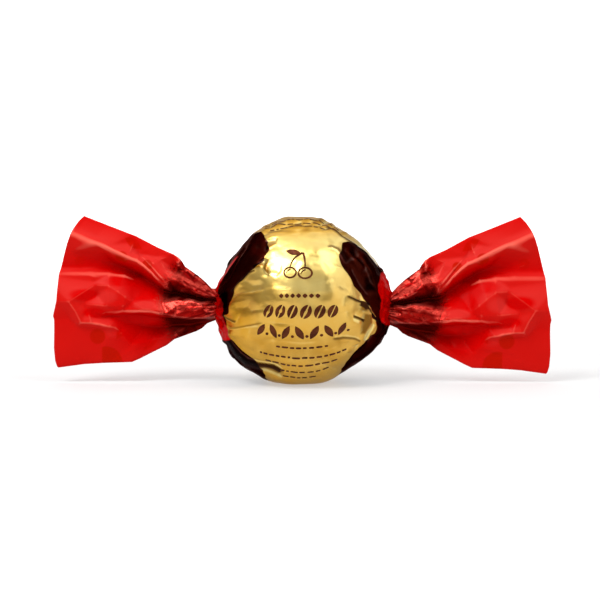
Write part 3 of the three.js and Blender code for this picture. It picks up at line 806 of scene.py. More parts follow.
def rowShapes(row, rng):
    # a motif again and again along a row, from its left end to its right one
    shapes = []
    size, up = row["size"], row["up"]
    bean, leaf, dash = label["bean"], label["rowLeaf"], label["dash"]
    place = row["from"]
    count = 0
    while place < row["to"]:
        if row["motif"] == "dots":
            shapes.append(turned(ringOutline(size, size, 1.3, 16), 0, place, up))
            place += row["pitch"]
        elif row["motif"] == "beans":
            for half in (0, 180):
                outline = turned(beanHalf(size * bean["width"], size, size * bean["slit"], 24), half, 0, 0)
                shapes.append(turned(outline, bean["turn"], place, up))
            place += row["pitch"]
        elif row["motif"] == "leaves":
            outline = leafOutline(size * leaf["length"], size * leaf["width"], 32)
            shapes.append(turned(outline, leaf["turns"][count % 2], place, up))
            dot = ringOutline(size * leaf["dot"], size * leaf["dot"], 2, 12)
            shapes.append(turned(dot, 0, place + row["pitch"] / 2, up - size * leaf["dotDrop"]))
            place += row["pitch"]
        else:
            length = rng.uniform(*dash["length"])
            outline = ringOutline(length / 2, size / 2, 4, 16)
            stray = rng.uniform(-dash["stray"], dash["stray"])
            shapes.append(turned(outline, 0, place + length / 2, up + stray))
            place += length + rng.uniform(*dash["gap"])
        count += 1
    return [(outline, "spot") for outline in shapes]


def plate(outline, kind):
    # flat places, faces and rim of an ornament: a "spot" is filled from its middle, a "stroke" between
    # its two sides, and a "band" between an outer outline and an inner one
    points = len(outline)
    half = points // 2
    if kind == "spot":
        rings = 6
        shares = (np.arange(rings) + 1) / rings
        middle = outline.mean(0)
        flat = middle + (outline - middle)[None] * shares[:, None, None]
        flat = np.concatenate([middle[None], flat.reshape(-1, 2)])
        here = np.arange(points)
        after = (here + 1) % points
        faces = [np.stack([np.zeros(points, int), 1 + here, 1 + after, 1 + after], -1)]
        for ring in range(rings - 1):
            a, b = 1 + ring * points, 1 + (ring + 1) * points
            faces.append(np.stack([a + here, b + here, b + after, a + after], -1))
        last = 1 + (rings - 1) * points
        return flat, np.concatenate(faces), last + here, last + after
    if kind == "band":
        here = np.arange(half)
        after = (here + 1) % half
        faces = np.stack([half + here, here, after, half + after], -1)
        return outline, faces, np.concatenate([here, half + after]), np.concatenate([after, half + here])
    here = np.arange(half - 1)
    faces = np.stack([here, here + 1, points - 2 - here, points - 1 - here], -1)
    rim = np.arange(points)
    return outline, faces, rim, (rim + 1) % points


def makePrint(surface):
    # each ornament is a thin closed plate: its faces above and below the film, and a wall at its rim
    rng = np.random.default_rng(8)
    shapes = emblemShapes()
    for row in label["rows"]:
        shapes += rowShapes(row, rng)
    vertices = []
    faces = []
    count = 0
    for outline, kind in shapes:
        flat, top, rim, rimNext = plate(outline, kind)
        place, normal = placeOnFilm(surface, flat[:, 0], flat[:, 1])
        size = len(flat)
        vertices += [place + normal * label["inkHeight"], place - normal * label["inkHeight"]]
        above = top + count
        below = above[:, ::-1] + size
        wall = np.stack([rim + count, rim + count + size, rimNext + count + size, rimNext + count], -1)
        faces += [above, below, wall]
        count += 2 * size
    corners = [tuple(dict.fromkeys(face)) for face in np.concatenate(faces).tolist()]
    mesh = bpy.data.meshes.new("label_print")
    mesh.from_pydata((np.concatenate(vertices) * mm).tolist(), [], corners)
    mesh.update()
    mesh.shade_smooth()
    return linked("label_print", mesh)


# A tail. Edges are (along, half height) and folds (along, up, depth) in mm from the neck, where depth
# is how far the film stands out to the front. Flat faces of film lie between the folds.
tail = {
    "along": 270,
    "up": 172,                # points on each layer
    "neckCrowding": 1.15,     # power that draws the points closer together at the neck
    "evenFrom": 0.30,         # share of the length from which the points lie evenly over the height
    "start": -1,              # along, inside the ball
    "rightStretch": 1.035,    # how much taller the right tail is
    "topEdge": [(-1, 3.0), (-0.3, 3.5), (0.65, 3.6), (1.8, 4.8), (3.8, 6.5), (6.66, 8.5), (7.3, 9.6),
                (8, 10.5), (9.3, 11.3), (12.7, 12.8), (18, 15.5), (24.3, 17.9), (29.45, 19.9), (39, 23.9)],
    "bottomEdge": [(-1, -3.0), (-0.5, -3.55), (1.8, -4.55), (3, -5.7), (4.3, -6.4), (9.3, -8.2),
                   (11, -9.5), (17.06, -12.5), (18.9, -13.3), (25.7, -13.5), (30, -13.8), (35.1, -14.5),
                   (39, -15.0)],
    "cutEnd": [(35.7, -14.6), (36.0, -14.3), (36.4, -12.9), (36.6, -10), (36.45, -5.7), (36.45, -3.5),
               (36.66, -2.6), (35.8, 0.73), (35.55, 4.05), (35.4, 6.6), (34.9, 8.7), (34.2, 11.25),
               (33.5, 13.6), (32.7, 15.7), (32.0, 17.2), (31.0, 18.7), (29.7, 20.0)],
    "filmGap": 0.35,
    "rimRoundness": 0.7,      # power: lower is rounder along the two edges
    # the open end as a pocket: ring counted from the end, and the share of its depth that is kept
    "pocket": {-1: 0.8, -6: 0.6, -14: 0.45, -26: 0.3, -38: 0.15},
    "rightSettle": 1.3,       # mm that the middle folds of the right tail lie lower
    "settleMiddle": -3,
    "settleWidth": 9,
    "cell": 0.15,             # of the grids that the folds and the small faces are worked out on
    "foldScale": 1.35,        # how much deeper the folds are than listed
    "sharpPasses": 2,         # of softening, for the folds as they are and where they are round
    "roundPasses": 22,
    "rollRanges": ((15, 30), (5.6, 7.0)),  # along and up, over which the long crests turn round
    "swell": (0.05, 6),       # height and size of each unevenness
    "ripple": (0.025, 2.2),
    "rippleRange": (24, 6),
    "fineCreases": {"count": 26, "slope": (-0.6, 0.75), "near": (1, 26), "length": (3, 8), "drawn": 0.9,
                    "stray": 0.8, "height": (-0.09, 0.12), "widths": (0.4, 0.5), "edge": 0.1, "fade": 0.4},
    "pleats": 23,
    "neckPleat": 0.25,
    "pleatReach": 4.5,
    "fanCentre": 4,           # mm inside the neck, that the small faces fan out from
    "fanStart": 1.6,          # radians below the middle at which their map begins
    "fanScale": 12,           # mm of the map for each radian
    "fanSize": (24, 38.4),    # of the map, (reach, turn) in mm
    "fanFrame": (25, 40),     # and of the flat faces' outline
    "fanRows": (0.5, 23),     # where the faces' places lie
    "fanColumns": (0.6, 38),
    "fanStray": 0.42,
    "facetPitch": (2.4, 1.56),
    "neckFacet": 0.13,        # depth of the crumpled faces of the neck
    "facetRange": (19, 9),    # mm of reach, from where they end to where they are full
    "crinklePitch": (1.3, 0.95),
    "neckCrinkle": 0.2,       # the same for the small ones on them
    "crinkleRange": (17.5, 13),
    "backPasses": 60,
    "backGap": 0.7,
    "leastGap": 0.3,
    "backCreases": {"count": 20, "slope": (-0.42, 0.55), "near": (3, 16), "far": (18, 33), "bend": 2,
                    "height": (-0.6, 0.5), "widths": (1.2, 0.8)},
    "backBowls": 70,
    "bowlDepth": 0.03,
    "bowlLimit": 14,          # square of the distance at which a bowl ends
    "backPleats": 17,
    "backPleatReach": 6,
    "gatheredEnd": 9,         # mm from the neck, where the back is no longer round
    # painted shade on the low gathers beside the neck, which look down
    "lowGatherShade": 0.55,
    "lowGatherRanges": ((18, 8), (-1.5, -5)),  # along and up, from where they end to where they are full
    "hollowPasses": 90,       # of softening, that a hollow, a crest or a roll is measured against
    "crestPasses": 3,
    "rollPasses": 30,
    "liftPasses": 8,
    "broadPasses": (60, 10),
    "rollHighlight": 0.3,         # how much of a round crest's height counts as a painted highlight on its edge
    # spots that add painted shade to the broad valleys (a negative strength takes it away), and spots of
    # painted light: along, up, half their length and height, and how strongly
    "valleyShadeSpots": [(17.5, -1, 8.5, 12.8, 1.6), (29.9, 2.2, 4.2, 1.7, 2.0), (27.2, -1.9, 3.6, 1.5, 1.6),
                  (22.5, 5.2, 3.5, 1.5, 1.2), (15.8, -0.2, 3.0, 1.2, -2.2), (24.4, 1.8, 3.0, 1.9, -1.2)],
    "paintedLightSpots": [(24.4, 1.8, 3.2, 1.9, 0.7), (15.8, -0.2, 3.0, 1.2, 1.0), (22.5, -6.5, 3.0, 1.6, 0.6)],
    "liftSlopes": (0.05, 0.55),  # painted light on a face that looks up: the slope where it begins to be pale and where it is full
    # the same painted light for the neck's small faces
    "neckLiftSlopes": (0.08, 0.35),
    "streakCount": 16,        # how fine the neck's painted streaks of shade are round it, and how long
    "streakLength": 9,
    "streakSize": 1.6,
    "streakFacing": 3.5,      # how much painted shade a small face gets for each step that it looks down
    "broadCells": 4,          # of the grid to one of the coarse grid for the broad hollows
    # ornaments of the print, as (along, up) from one tip to the other and half the width, and as
    # (along, up) of a middle and the radius
    "leaves": [(19.4, -3.2, 22.4, -8.1, 1.15), (16.4, 12.4, 20.4, 15.2, 1.0),
               (12.6, -7.0, 16.4, -10.6, 0.9)],
    "discs": [(26.6, -7.3, 1.8), (21.0, 10.6, 1.5), (15.2, 9.0, 1.2), (30.6, 9.6, 1.3)],
    "halfDisc": (24.7, -13.2, 3.6),
    "folds": {
        "top edge": [(-2, 4.2, -0.2), (0, 4.2, 0), (1.8, 5.3, 0), (3.8, 7.0, 0.1), (6.6, 9.0, 0.2),
                     (7.3, 10.2, 0.3), (9.3, 12.0, 0.5), (12.7, 13.6, 0.5), (18, 16.3, -0.3),
                     (24.3, 18.7, -0.8), (29, 20.8, -1), (39, 25, -1.1)],
        "upper crest, top": [(39, 21.4, -0.5), (31.5, 16.95, -0.1), (27.1, 14.95, 0.45),
                             (23.5, 13.35, 0.85), (19.3, 11.4, 1.1)],
        "upper crest": [(39, 20.2, 0.5), (31.5, 15.9, 0.9), (27.1, 14.0, 1.35), (23.5, 12.5, 1.65),
                        (19.2, 10.55, 1.85), (17.5, 9.9, 1.9), (16, 8.85, 1.9), (14.3, 7.4, 1.8),
                        (12.7, 5.55, 1.7), (11.1, 3.75, 1.4)],
        "small valley": [(18.3, 14.2, -0.2), (18.1, 12.6, -0.1), (17.3, 11.3, 0.2), (16.7, 10.5, 0.5),
                         (15.2, 8.9, 1.1), (13.4, 7.0, 1.2), (11.9, 5.2, 1.1)],
        "leaf, ridge": [(16.3, 10.45, 0.8), (14.6, 9.0, 1.5), (12.5, 6.7, 2.0), (11.0, 4.9, 2.2),
                        (10.9, 4.0, 1.9)],
        "leaf, top": [(16.3, 10.45, 0.8), (13.5, 10.8, 0.55), (10.3, 11.0, 0.5)],
        "leaf, middle": [(12.3, 10.2, 0.9), (11.2, 8.0, 1.3), (10.0, 5.6, 1.9)],
        "leaf, right": [(10.3, 11.0, 0.5), (9.8, 8.5, 0.1), (9.3, 7.6, 0.1)],
        "hollow": [(9.2, 10.3, 0), (9.0, 9.0, -0.1)],
        "bump": [(7.9, 10.2, 0.9), (8.2, 9.0, 1.0), (8.1, 8.2, 0.7)],
        "shoulder": [(8.9, 7.8, 0.0), (7.9, 7.75, 0.0), (6.6, 7.7, 0.3), (4.7, 6.5, 0.7)],
        "neck ridge": [(9.1, 7.0, 1.0), (7.6, 5.4, 1.9), (6.1, 4.0, 2.3), (4, 2.85, 2.6), (2, 2.3, 2.8),
                       (0, 2.1, 2.9), (-2, 2.1, 2.9)],
        "cross valley": [(5.9, 4.7, 1.35), (4.9, 5.6, 0.7), (3.95, 6.4, 0.1)],
        "valley": [(28, 9.6, -1.1), (22.5, 8.9, -1.9), (19.9, 7.85, -2.2), (17, 6.2, -2.4),
                   (13.8, 4.3, -2.4), (12.2, 3.3, -2.3), (9.3, 2.3, -1.7), (6, 1.6, -0.7), (3, 1.0, 0.2),
                   (0, 1.1, 0.8), (-2, 1.1, 0.8)],
        "faint line": [(39, 12.3, -0.3), (33, 11.6, -0.3), (24.8, 11.3, -0.6)],
        "middle crest, top": [(39, 8.25, -0.8), (28.2, 8.2, -1.0), (24, 7.75, -1.3), (20.5, 6.95, -1.5),
                              (18.4, 5.75, -1.8)],
        "middle crest": [(39, 7.1, 0.1), (28.2, 7.1, 0.1), (24, 6.9, 0), (20.5, 6.45, -0.3),
                         (17.8, 5.0, -0.8), (15.5, 3.5, -0.9), (13, 2.4, -0.6)],
        "pale face, top": [(39, 6.8, 0.15), (27.2, 5.1, 0.3)],
        "pale face, foot": [(39, 0.3, 1.0), (35.6, 0.7, 1.5), (32.9, 0.7, 2.0), (30, 2.6, 1.35),
                            (27.1, 4.4, 0.6)],
        "diamond, top": [(27.1, 4.4, 0.6), (23.9, 4.2, 1.3), (21.8, 2.95, 1.65), (20.2, 1.75, 1.6),
                         (18.6, 0.45, 1.15)],
        "diamond, valley": [(23.9, 4.2, 1.3), (26.6, 2.2, 0.3), (29.8, 0.15, 1.0)],
        "diamond, foot": [(29.8, 0.15, 1.0), (27.8, -0.05, 1.15), (24.5, -0.25, 1.6), (20.7, -0.35, 1.75),
                          (18.6, 0.45, 1.15)],
        "low ridge": [(27.5, -2.15, 0.8), (24.8, -1.85, 1.1), (20.7, -1.5, 1.45), (17.1, -1.5, 1.6),
                      (14.3, -1.6, 1.8), (12.7, -1.95, 2.0), (11, -2.15, 2.1), (7.7, -2.85, 2.3),
                      (4.3, -3.05, 2.5), (0, -2.6, 2.4), (-2, -2.6, 2.4)],
        "under the low ridge": [(26.0, -2.7, 0.7), (24.0, -2.6, 0.35), (20.7, -2.35, 0.0),
                                (17, -2.4, -0.5), (12.2, -3.2, -0.9), (6, -3.75, -0.8), (0, -3.5, 0.0),
                                (-2, -3.5, 0.0)],
        "hook, inside": [(29.8, 0.15, 1.0), (28.7, -1.6, 0.95), (27.3, -3.0, 0.75)],
        "hook, down": [(32.9, 0.7, 2.0), (31.4, -1.6, 1.8), (30.2, -4.1, 1.65)],
        "hook, across": [(30.2, -4.1, 1.65), (27.8, -4.2, 1.65), (25.5, -4.6, 1.55), (23.9, -5.0, 1.3),
                         (22.6, -5.35, 0.9)],
        "hook, top": [(27.3, -3.0, 0.75), (25.7, -3.3, 0.65), (22.6, -3.2, 0.35)],
        "hook, foot": [(39, -4, 0.6), (33.3, -3.0, 0.75), (31.2, -5.0, 0.8), (27.3, -5.2, 0.8),
                       (24, -5.9, 0.7), (21.5, -6.3, 0.4)],
        "bottom edge": [(39, -16.4, 0.2), (30, -14.8, 0.25), (25.7, -14.5, 0.25), (18.9, -14.3, 0.2),
                        (17, -13.4, 0.1), (11, -10.4, -0.6), (9.3, -9.1, -0.8), (4.3, -7.3, -1.0),
                        (3, -6.6, -0.9), (1.8, -5.5, -0.5), (0, -4.3, 0), (-2, -4.2, 0)],
        "low valley": [(20.8, -4.2, -0.2), (18.4, -4.7, -1.0), (16.2, -5.2, -1.8), (13, -5.6, -2.4),
                       (9.5, -5.0, -2.2), (5, -4.6, -1.9), (2, -4.1, -0.9)],
        "swell": [(19.2, -9.5, 0.1), (15, -8.6, -0.7), (11.5, -7.6, -1.2)],
        "neck, top": [(12, 0.5, 0.9), (7.7, 1.1, 1.5), (5.2, 1.2, 2.0), (3, 0.45, 2.6)],
        "neck, middle": [(7.7, 0.1, 1.9), (5.2, -1.05, 2.5), (2.7, -1.5, 2.8), (0, -1.7, 3.0),
                         (-2, -1.7, 3.0)],
        "spindle": [(18.6, 0.45, 1.15), (13.65, 1.1, 0.8), (12.5, -1.15, 1.95), (15.9, -0.9, 1.75),
                    (18.6, 0.45, 1.15)],
    },
}


def fanFaces(rng, pitch, depth):
    # flat faces over (reach, 12 * turn) round a neck: random depths at random places
    (reachEnd, turnEnd), (farReach, farTurn) = tail["fanSize"], tail["fanFrame"]
    places = [(-1, -1, 0), (farReach, -1, 0), (farReach, farTurn, 0), (-1, farTurn, 0)]
    rows, columns = np.arange(*tail["fanRows"], pitch[0]), np.arange(*tail["fanColumns"], pitch[1])
    for reach, turn, strayReach, strayTurn in strewn(rng, rows, columns, pitch[1], tail["fanStray"]):
        reach, turn = reach + strayReach * pitch[0], turn + strayTurn * pitch[1]
        places.append((reach, turn, rng.uniform(-1, 1) * depth))
    cell = tail["cell"]
    return foldedFaces(places, [], np.arange(0, reachEnd, cell), np.arange(0, turnEnd, cell))


def readFan(faces, reach, fan):
    # the faces' depth at each (reach, turn round the middle of the fan)
    cell = tail["cell"]
    return readGrid(faces, reach / cell, (fan + tail["fanStart"]) * tail["fanScale"] / cell)


def fadingSpots(spots, along, up):
    # each (along, up, half length, half height, strength) adds its strength, fading from 0.4 of its size
    total = np.zeros(along.shape)
    for alongMiddle, upMiddle, halfAlong, halfUp, strength in spots:
        spread = np.hypot((along - alongMiddle) / halfAlong, (up - upMiddle) / halfUp)
        total += strength * blendOver(1, 0.4, spread)
    return total


def foldNetwork():
    # the places that the folds join, each once, and the pairs of them that a fold runs between
    places = []
    edges = []
    number = {}
    for line in tail["folds"].values():
        for k, point in enumerate(line):
            if point[:2] not in number:
                number[point[:2]] = len(places)
                places.append(point)
            if k > 0:
                edges.append((number[line[k - 1][:2]], number[point[:2]]))
    return places, edges


def fineCrease(rng):
    # a short, faint crease that spreads from the neck
    fine = tail["fineCreases"]
    slope = rng.uniform(*fine["slope"])
    near = rng.uniform(*fine["near"])
    far = near + rng.uniform(*fine["length"])
    farUp = slope * far * fine["drawn"] + rng.uniform(-fine["stray"], fine["stray"])
    path = [(near, slope * near * fine["drawn"]), (far, farUp)]
    return {"path": path, "height": rng.uniform(*fine["height"]), "widths": fine["widths"],
            "edge": fine["edge"], "fade": fine["fade"]}


def backCrease(rng):
    # a long, bent crease of the back layer: up = slope * along, and a bend in the middle
    back = tail["backCreases"]
    slope = rng.uniform(*back["slope"])
    near, far = rng.uniform(*back["near"]), rng.uniform(*back["far"])
    bend = rng.uniform(-back["bend"], back["bend"])
    path = [(near, slope * near), ((near + far) / 2, slope * (near + far) / 2 + bend), (far, slope * far)]
    return {"path": path, "height": rng.uniform(*back["height"]), "widths": back["widths"]}


def tailRelief(seed):
    # depth maps of the front layer and the back one over (along, up), and the function to read them
    rng = np.random.default_rng(seed)
    cell = tail["cell"]
    alongLine = np.arange(-2, 39.01, cell)
    upLine = np.arange(-15.5, 22.51, cell)
    along, up = np.meshgrid(alongLine, upLine, indexing="ij")
    folded = foldedFaces(*foldNetwork(), alongLine, upLine) * tail["foldScale"]
    sharp = soften(folded, tail["sharpPasses"], False)
    rounded = soften(folded, tail["roundPasses"], False)
    # the two long crests open out into round rolls towards the cut end, and the wide valley is smooth
    rollAlong, rollUp = tail["rollRanges"]
    roll = blendOver(*rollAlong, along) * blendOver(*rollUp, up)
    calm = (blendOver(24, 20, along) * blendOver(9, 12, along)
            * blendOver(0.7, 1.9, up - 0.7 * (along - 18.4))  # above a line that climbs by 0.7 from 18.4
            * blendOver(6.4, 5.2, up) * blendOver(0.8, 2.0, up))
    front = sharp + (rounded - sharp) * np.maximum(roll, calm)
    flat = np.stack([along, 0 * along, up], -1)
    (swell, swellSize), (ripple, rippleSize) = tail["swell"], tail["ripple"]
    ripples = ripple * waves(flat, rippleSize, seed + 3) * blendOver(*tail["rippleRange"], along)
    front = front + swell * waves(flat, swellSize, seed) + ripples
    for _ in range(tail["fineCreases"]["count"]):
        front = front + creaseHeight(fineCrease(rng), along, up)
    fan = np.arctan2(up, along + tail["fanCentre"])
    pleats = np.abs(np.sin(tail["pleats"] * fan + 1.2 * np.sin(5 * fan + 0.12 * along))) - 0.6
    front = front + tail["neckPleat"] * pleats * np.exp(-np.maximum(along, 0) / tail["pleatReach"])
    # crumpled faces fan out from the neck, large ones and small ones on them
    reach = np.hypot(along + tail["fanCentre"], up)
    facets = soften(fanFaces(rng, tail["facetPitch"], tail["neckFacet"]), 1, False)
    front = front + readFan(facets, reach, fan) * blendOver(*tail["facetRange"], reach)
    crinkles = fanFaces(rng, tail["crinklePitch"], tail["neckCrinkle"])
    crinkles = readFan(crinkles, reach, fan) * blendOver(*tail["crinkleRange"], reach)
    front = front + crinkles

    # the back layer follows the front's broad shape, with creases, bowls and pleats of its own, and
    # is round at the neck
    back = soften(front, tail["backPasses"], False) - tail["backGap"]
    for _ in range(tail["backCreases"]["count"]):
        back = back + creaseHeight(backCrease(rng), along, up)
    count = tail["backBowls"]
    spots = np.stack([rng.uniform(0, 38, count), np.zeros(count), rng.uniform(-15, 20, count)], -1)
    bowls = hollows(flat, spots, np.array([0.6, 1, 1]))
    back = back - tail["bowlDepth"] * np.minimum(bowls, tail["bowlLimit"])
    backPleats = np.abs(np.sin(tail["backPleats"] * fan + 0.9)) - 0.6
    back = back + backPleats * np.exp(-np.maximum(along, 0) / tail["backPleatReach"])
    gathered = 1 - blendOver(0, tail["gatheredEnd"], along)
    neckRound = np.sqrt(np.maximum(sweet["neckRadius"] ** 2 - up ** 2, 0))
    back = back * (1 - gathered) - neckRound * gathered
    back = np.minimum(back, front - tail["leastGap"])

    # what the film's material reads: painted shade in hollows, painted highlights on crests and painted
    # light on faces that look up; the low gathers beside the neck get painted shade as dark as deep folds
    gatherAlong, gatherUp = tail["lowGatherRanges"]
    shadedLowGathers = blendOver(*gatherUp, up) * blendOver(*gatherAlong, along)
    hollow = soften(front, tail["hollowPasses"], False) - front + tail["lowGatherShade"] * shadedLowGathers
    rollHighlight = tail["rollHighlight"] * roll * (front - soften(front, tail["rollPasses"], False))
    crest = front - soften(front, tail["crestPasses"], False) + rollHighlight
    slope = -np.gradient(soften(front, tail["liftPasses"], False), axis=1) / cell
    paintedLight = blendOver(*tail["liftSlopes"], slope)
    step = tail["broadCells"]
    farPasses, nearPasses = tail["broadPasses"]
    coarse = soften(front[::step, ::step], farPasses, False)
    broad = readGrid(coarse, (along - alongLine[0]) / cell / step,
                     (up - upLine[0]) / cell / step) - soften(front, nearPasses, False)
    # spots that add or take away the broad valleys' painted shade, and spots of painted light
    broad = broad + fadingSpots(tail["valleyShadeSpots"], along, up)
    paintedLight = paintedLight + fadingSpots(tail["paintedLightSpots"], along, up)
    # painted streaks of shade run out of the neck, and its small faces get painted light where they look up
    # and painted shade where they look down
    facing = -np.gradient(crinkles, axis=1) / cell
    fanned = np.stack([fan * tail["streakCount"], along / tail["streakLength"], 0 * fan], -1)
    streakShade = waves(fanned, tail["streakSize"], seed + 5) - tail["streakFacing"] * facing
    paintedLight = np.maximum(paintedLight, blendOver(*tail["neckLiftSlopes"], facing))
    maps = {"front": front, "back": back, "hollow": hollow, "crest": crest, "paintedLight": paintedLight, "broad": broad,
            "streakShade": streakShade}
    return lambda name, a, u: readGrid(maps[name], (a - alongLine[0]) / cell, (u - upLine[0]) / cell)


def tonePrint(along, up):
    # 1 inside the darker ornaments of the red film, leaves, discs and a half disc, with soft rims
    ornaments = []
    for startAlong, startUp, endAlong, endUp, width in tail["leaves"]:
        runAlong, runUp = endAlong - startAlong, endUp - startUp
        length = math.hypot(runAlong, runUp)
        share = ((along - startAlong) * runAlong + (up - startUp) * runUp) / length ** 2
        side = ((along - startAlong) * runUp - (up - startUp) * runAlong) / length
        ornaments.append(width * np.sin(math.pi * np.clip(share, 0, 1)) - np.abs(side))
    for middleAlong, middleUp, radius in tail["discs"]:
        ornaments.append(radius - np.hypot(along - middleAlong, up - middleUp))
    middleAlong, middleUp, radius = tail["halfDisc"]
    disc = radius - np.hypot(along - middleAlong, up - middleUp)
    ornaments.append(np.minimum(disc, middleAlong + 1 - along))
    return blendOver(-0.1, 0.2, np.max(ornaments, 0))


def tailPlaces(sGrid, half):
    # (along, up) of each share s of the length and turn over the height: t = (1 - cos half) / 2 at the
    # neck and half / pi farther out, between the two edges, and the last ones on the cut end
    even = blendOver(0, tail["evenFrom"], sGrid)
    t = (1 - even) * (1 - np.cos(half)) / 2 + even * half / math.pi
    top, bottom, cut = [np.array(tail[key]).T for key in ("topEdge", "bottomEdge", "cutEnd")]
    cutLower = np.interp(cut[0], bottom[0], bottom[1])
    cutShare = (cut[1] - cutLower) / (np.interp(cut[0], top[0], top[1]) - cutLower)
    along = tail["start"] + sGrid * (np.interp(t, cutShare, cut[0]) - tail["start"])
    upper = np.interp(along, top[0], top[1])
    lower = np.interp(along, bottom[0], bottom[1])
    return along, lower + t * (upper - lower), t


def makeTail(side, name, seed):
    # grid of (length, turn round the front layer and the back one), with the layers' depth from the maps
    s = np.linspace(0, 1, tail["along"]) ** tail["neckCrowding"]
    upCount = tail["up"]
    turn = np.arange(2 * upCount) / upCount * math.pi
    sGrid, turnGrid = np.meshgrid(s, turn, indexing="ij")
    half = np.where(turnGrid <= math.pi, turnGrid, 2 * math.pi - turnGrid)
    along, up, t = tailPlaces(sGrid, half)

    read = tailRelief(seed)
    foldUp = up
    if side > 0:
        settle = tail["rightSettle"] * np.exp(-((up - tail["settleMiddle"]) / tail["settleWidth"]) ** 2)
        foldUp = up + settle * blendOver(0, 20, along)
    front = read("front", along, foldUp)
    back = read("back", along, foldUp)
    lens = np.sqrt(np.clip(4 * t * (1 - t), 0, 1)) ** tail["rimRoundness"]
    rim = (front + back) / 2
    front = rim + (front - rim) * lens + tail["filmGap"] / 2 * lens
    back = rim + (back - rim) * lens - tail["filmGap"] / 2 * lens
    depth = soften(np.where(turnGrid <= math.pi, front, back), 1)

    stretch = 1 if side < 0 else tail["rightStretch"]
    neckX = sweet["leftNeck"] if side < 0 else sweet["rightNeck"]
    neckZ = sweet["middleHeight"] - (sweet["leftNeckDrop"] if side < 0 else sweet["rightNeckDrop"])
    outer = np.stack([neckX + side * along, -depth, neckZ + up * stretch], -1)
    # the open end: the film turns over its cut edge and runs back inside as a pocket
    middle = (outer + outer[:, (-np.arange(2 * upCount)) % (2 * upCount)]) / 2
    inner = [middle[ring] + (outer[ring] - middle[ring]) * keep for ring, keep in tail["pocket"].items()]
    rings = np.concatenate([outer, np.array(inner)])
    fields = {key: read(key, along, foldUp) for key in ("hollow", "crest", "paintedLight", "broad", "streakShade")}
    fields.update({"reach": along, "rise": up, "tone": tonePrint(along, up)})
    fields = {key: np.concatenate([f, f[list(tail["pocket"])]]) for key, f in fields.items()}
    if side < 0:
        rings = rings[:, ::-1]
        fields = {key: f[:, ::-1] for key, f in fields.items()}
    filmMap = (fields.pop("reach"), fields.pop("rise"))
    fields["fromNeck"] = np.hypot(*filmMap)
    return ringMesh(name, rings, (True, False), fields, filmMap)


def newMaterial(name):
    # a material, its tree of nodes and the surface shader in it
    material = bpy.data.materials.new(name)
    material.use_nodes = True
    return material, material.node_tree, material.node_tree.nodes["Principled BSDF"]


def plug(tree, source, socket):
    # a number or a colour is set, and anything else is linked
    if isinstance(source, (int, float)):
        socket.default_value = source
    elif isinstance(source, (tuple, list)):
        socket.default_value = (*source, 1)
    else:
        tree.links.new(source, socket)


def field(tree, name):
    # a value that the mesh carries at each of its points
    node = tree.nodes.new("ShaderNodeAttribute")
    node.attribute_name = name
    return node.outputs["Fac"]


def edgeMask(tree, source, low, high):
    # 0 below low, 1 above high, and a straight line between them
    node = tree.nodes.new("ShaderNodeMapRange")
    node.inputs["From Min"].default_value = low
    node.inputs["From Max"].default_value = high
    tree.links.new(source, node.inputs["Value"])
    return node.outputs["Result"]


def noise(tree, scale, detail):
    # soft random clouds, scale of them to a metre, with finer ones on them for each step of detail
    place = tree.nodes.new("ShaderNodeTexCoord")
    node = tree.nodes.new("ShaderNodeTexNoise")
    node.inputs["Scale"].default_value = scale
    node.inputs["Detail"].default_value = detail
    tree.links.new(place.outputs["Object"], node.inputs["Vector"])
    return node.outputs["Fac"]


def combine(tree, operation, *sources):
    # the operation's result for two or three values
    node = tree.nodes.new("ShaderNodeMath")
    node.operation = operation
    for source, socket in zip(sources, node.inputs):
        plug(tree, source, socket)
    return node.outputs[0]


def mixColour(tree, factor, first, second):
    # first * (1 - factor) + second * factor
    node = tree.nodes.new("ShaderNodeMix")
    node.data_type = "RGBA"
    for source, socket in ((factor, 0), (first, 6), (second, 7)):
        plug(tree, source, node.inputs[socket])
    return node.outputs[2]


def mixNumber(tree, factor, first, second):
    # first * (1 - factor) + second * factor
    node = tree.nodes.new("ShaderNodeMix")
    for source, socket in ((factor, 0), (first, 2), (second, 3)):
        plug(tree, source, node.inputs[socket])
    return node.outputs[0]


def masksOf(tree, ranges):
    # for each mask: 0 where the mesh's field has the first value, and 1 where it has the second
    return {name: edgeMask(tree, field(tree, key), low, high) for name, (key, low, high) in ranges.items()}


def layered(tree, colour, *layers):
    # each (mask, colour) is laid over the ones before it
    for mask, over in layers:
        colour = mixColour(tree, mask, colour, over)
    return colour


def finish(tree, shader, inputs, grain):
    # sets or links the shader's inputs, and leans its shading as a fine grain of clouds would
    for name, source in inputs.items():
        plug(tree, source, shader.inputs[name])
    bump = tree.nodes.new("ShaderNodeBump")
    bump.inputs["Strength"].default_value = grain["strength"]
    bump.inputs["Distance"].default_value = grain["depth"]
    tree.links.new(noise(tree, *grain["clouds"]), bump.inputs["Height"])
    tree.links.new(bump.outputs["Normal"], shader.inputs["Normal"])


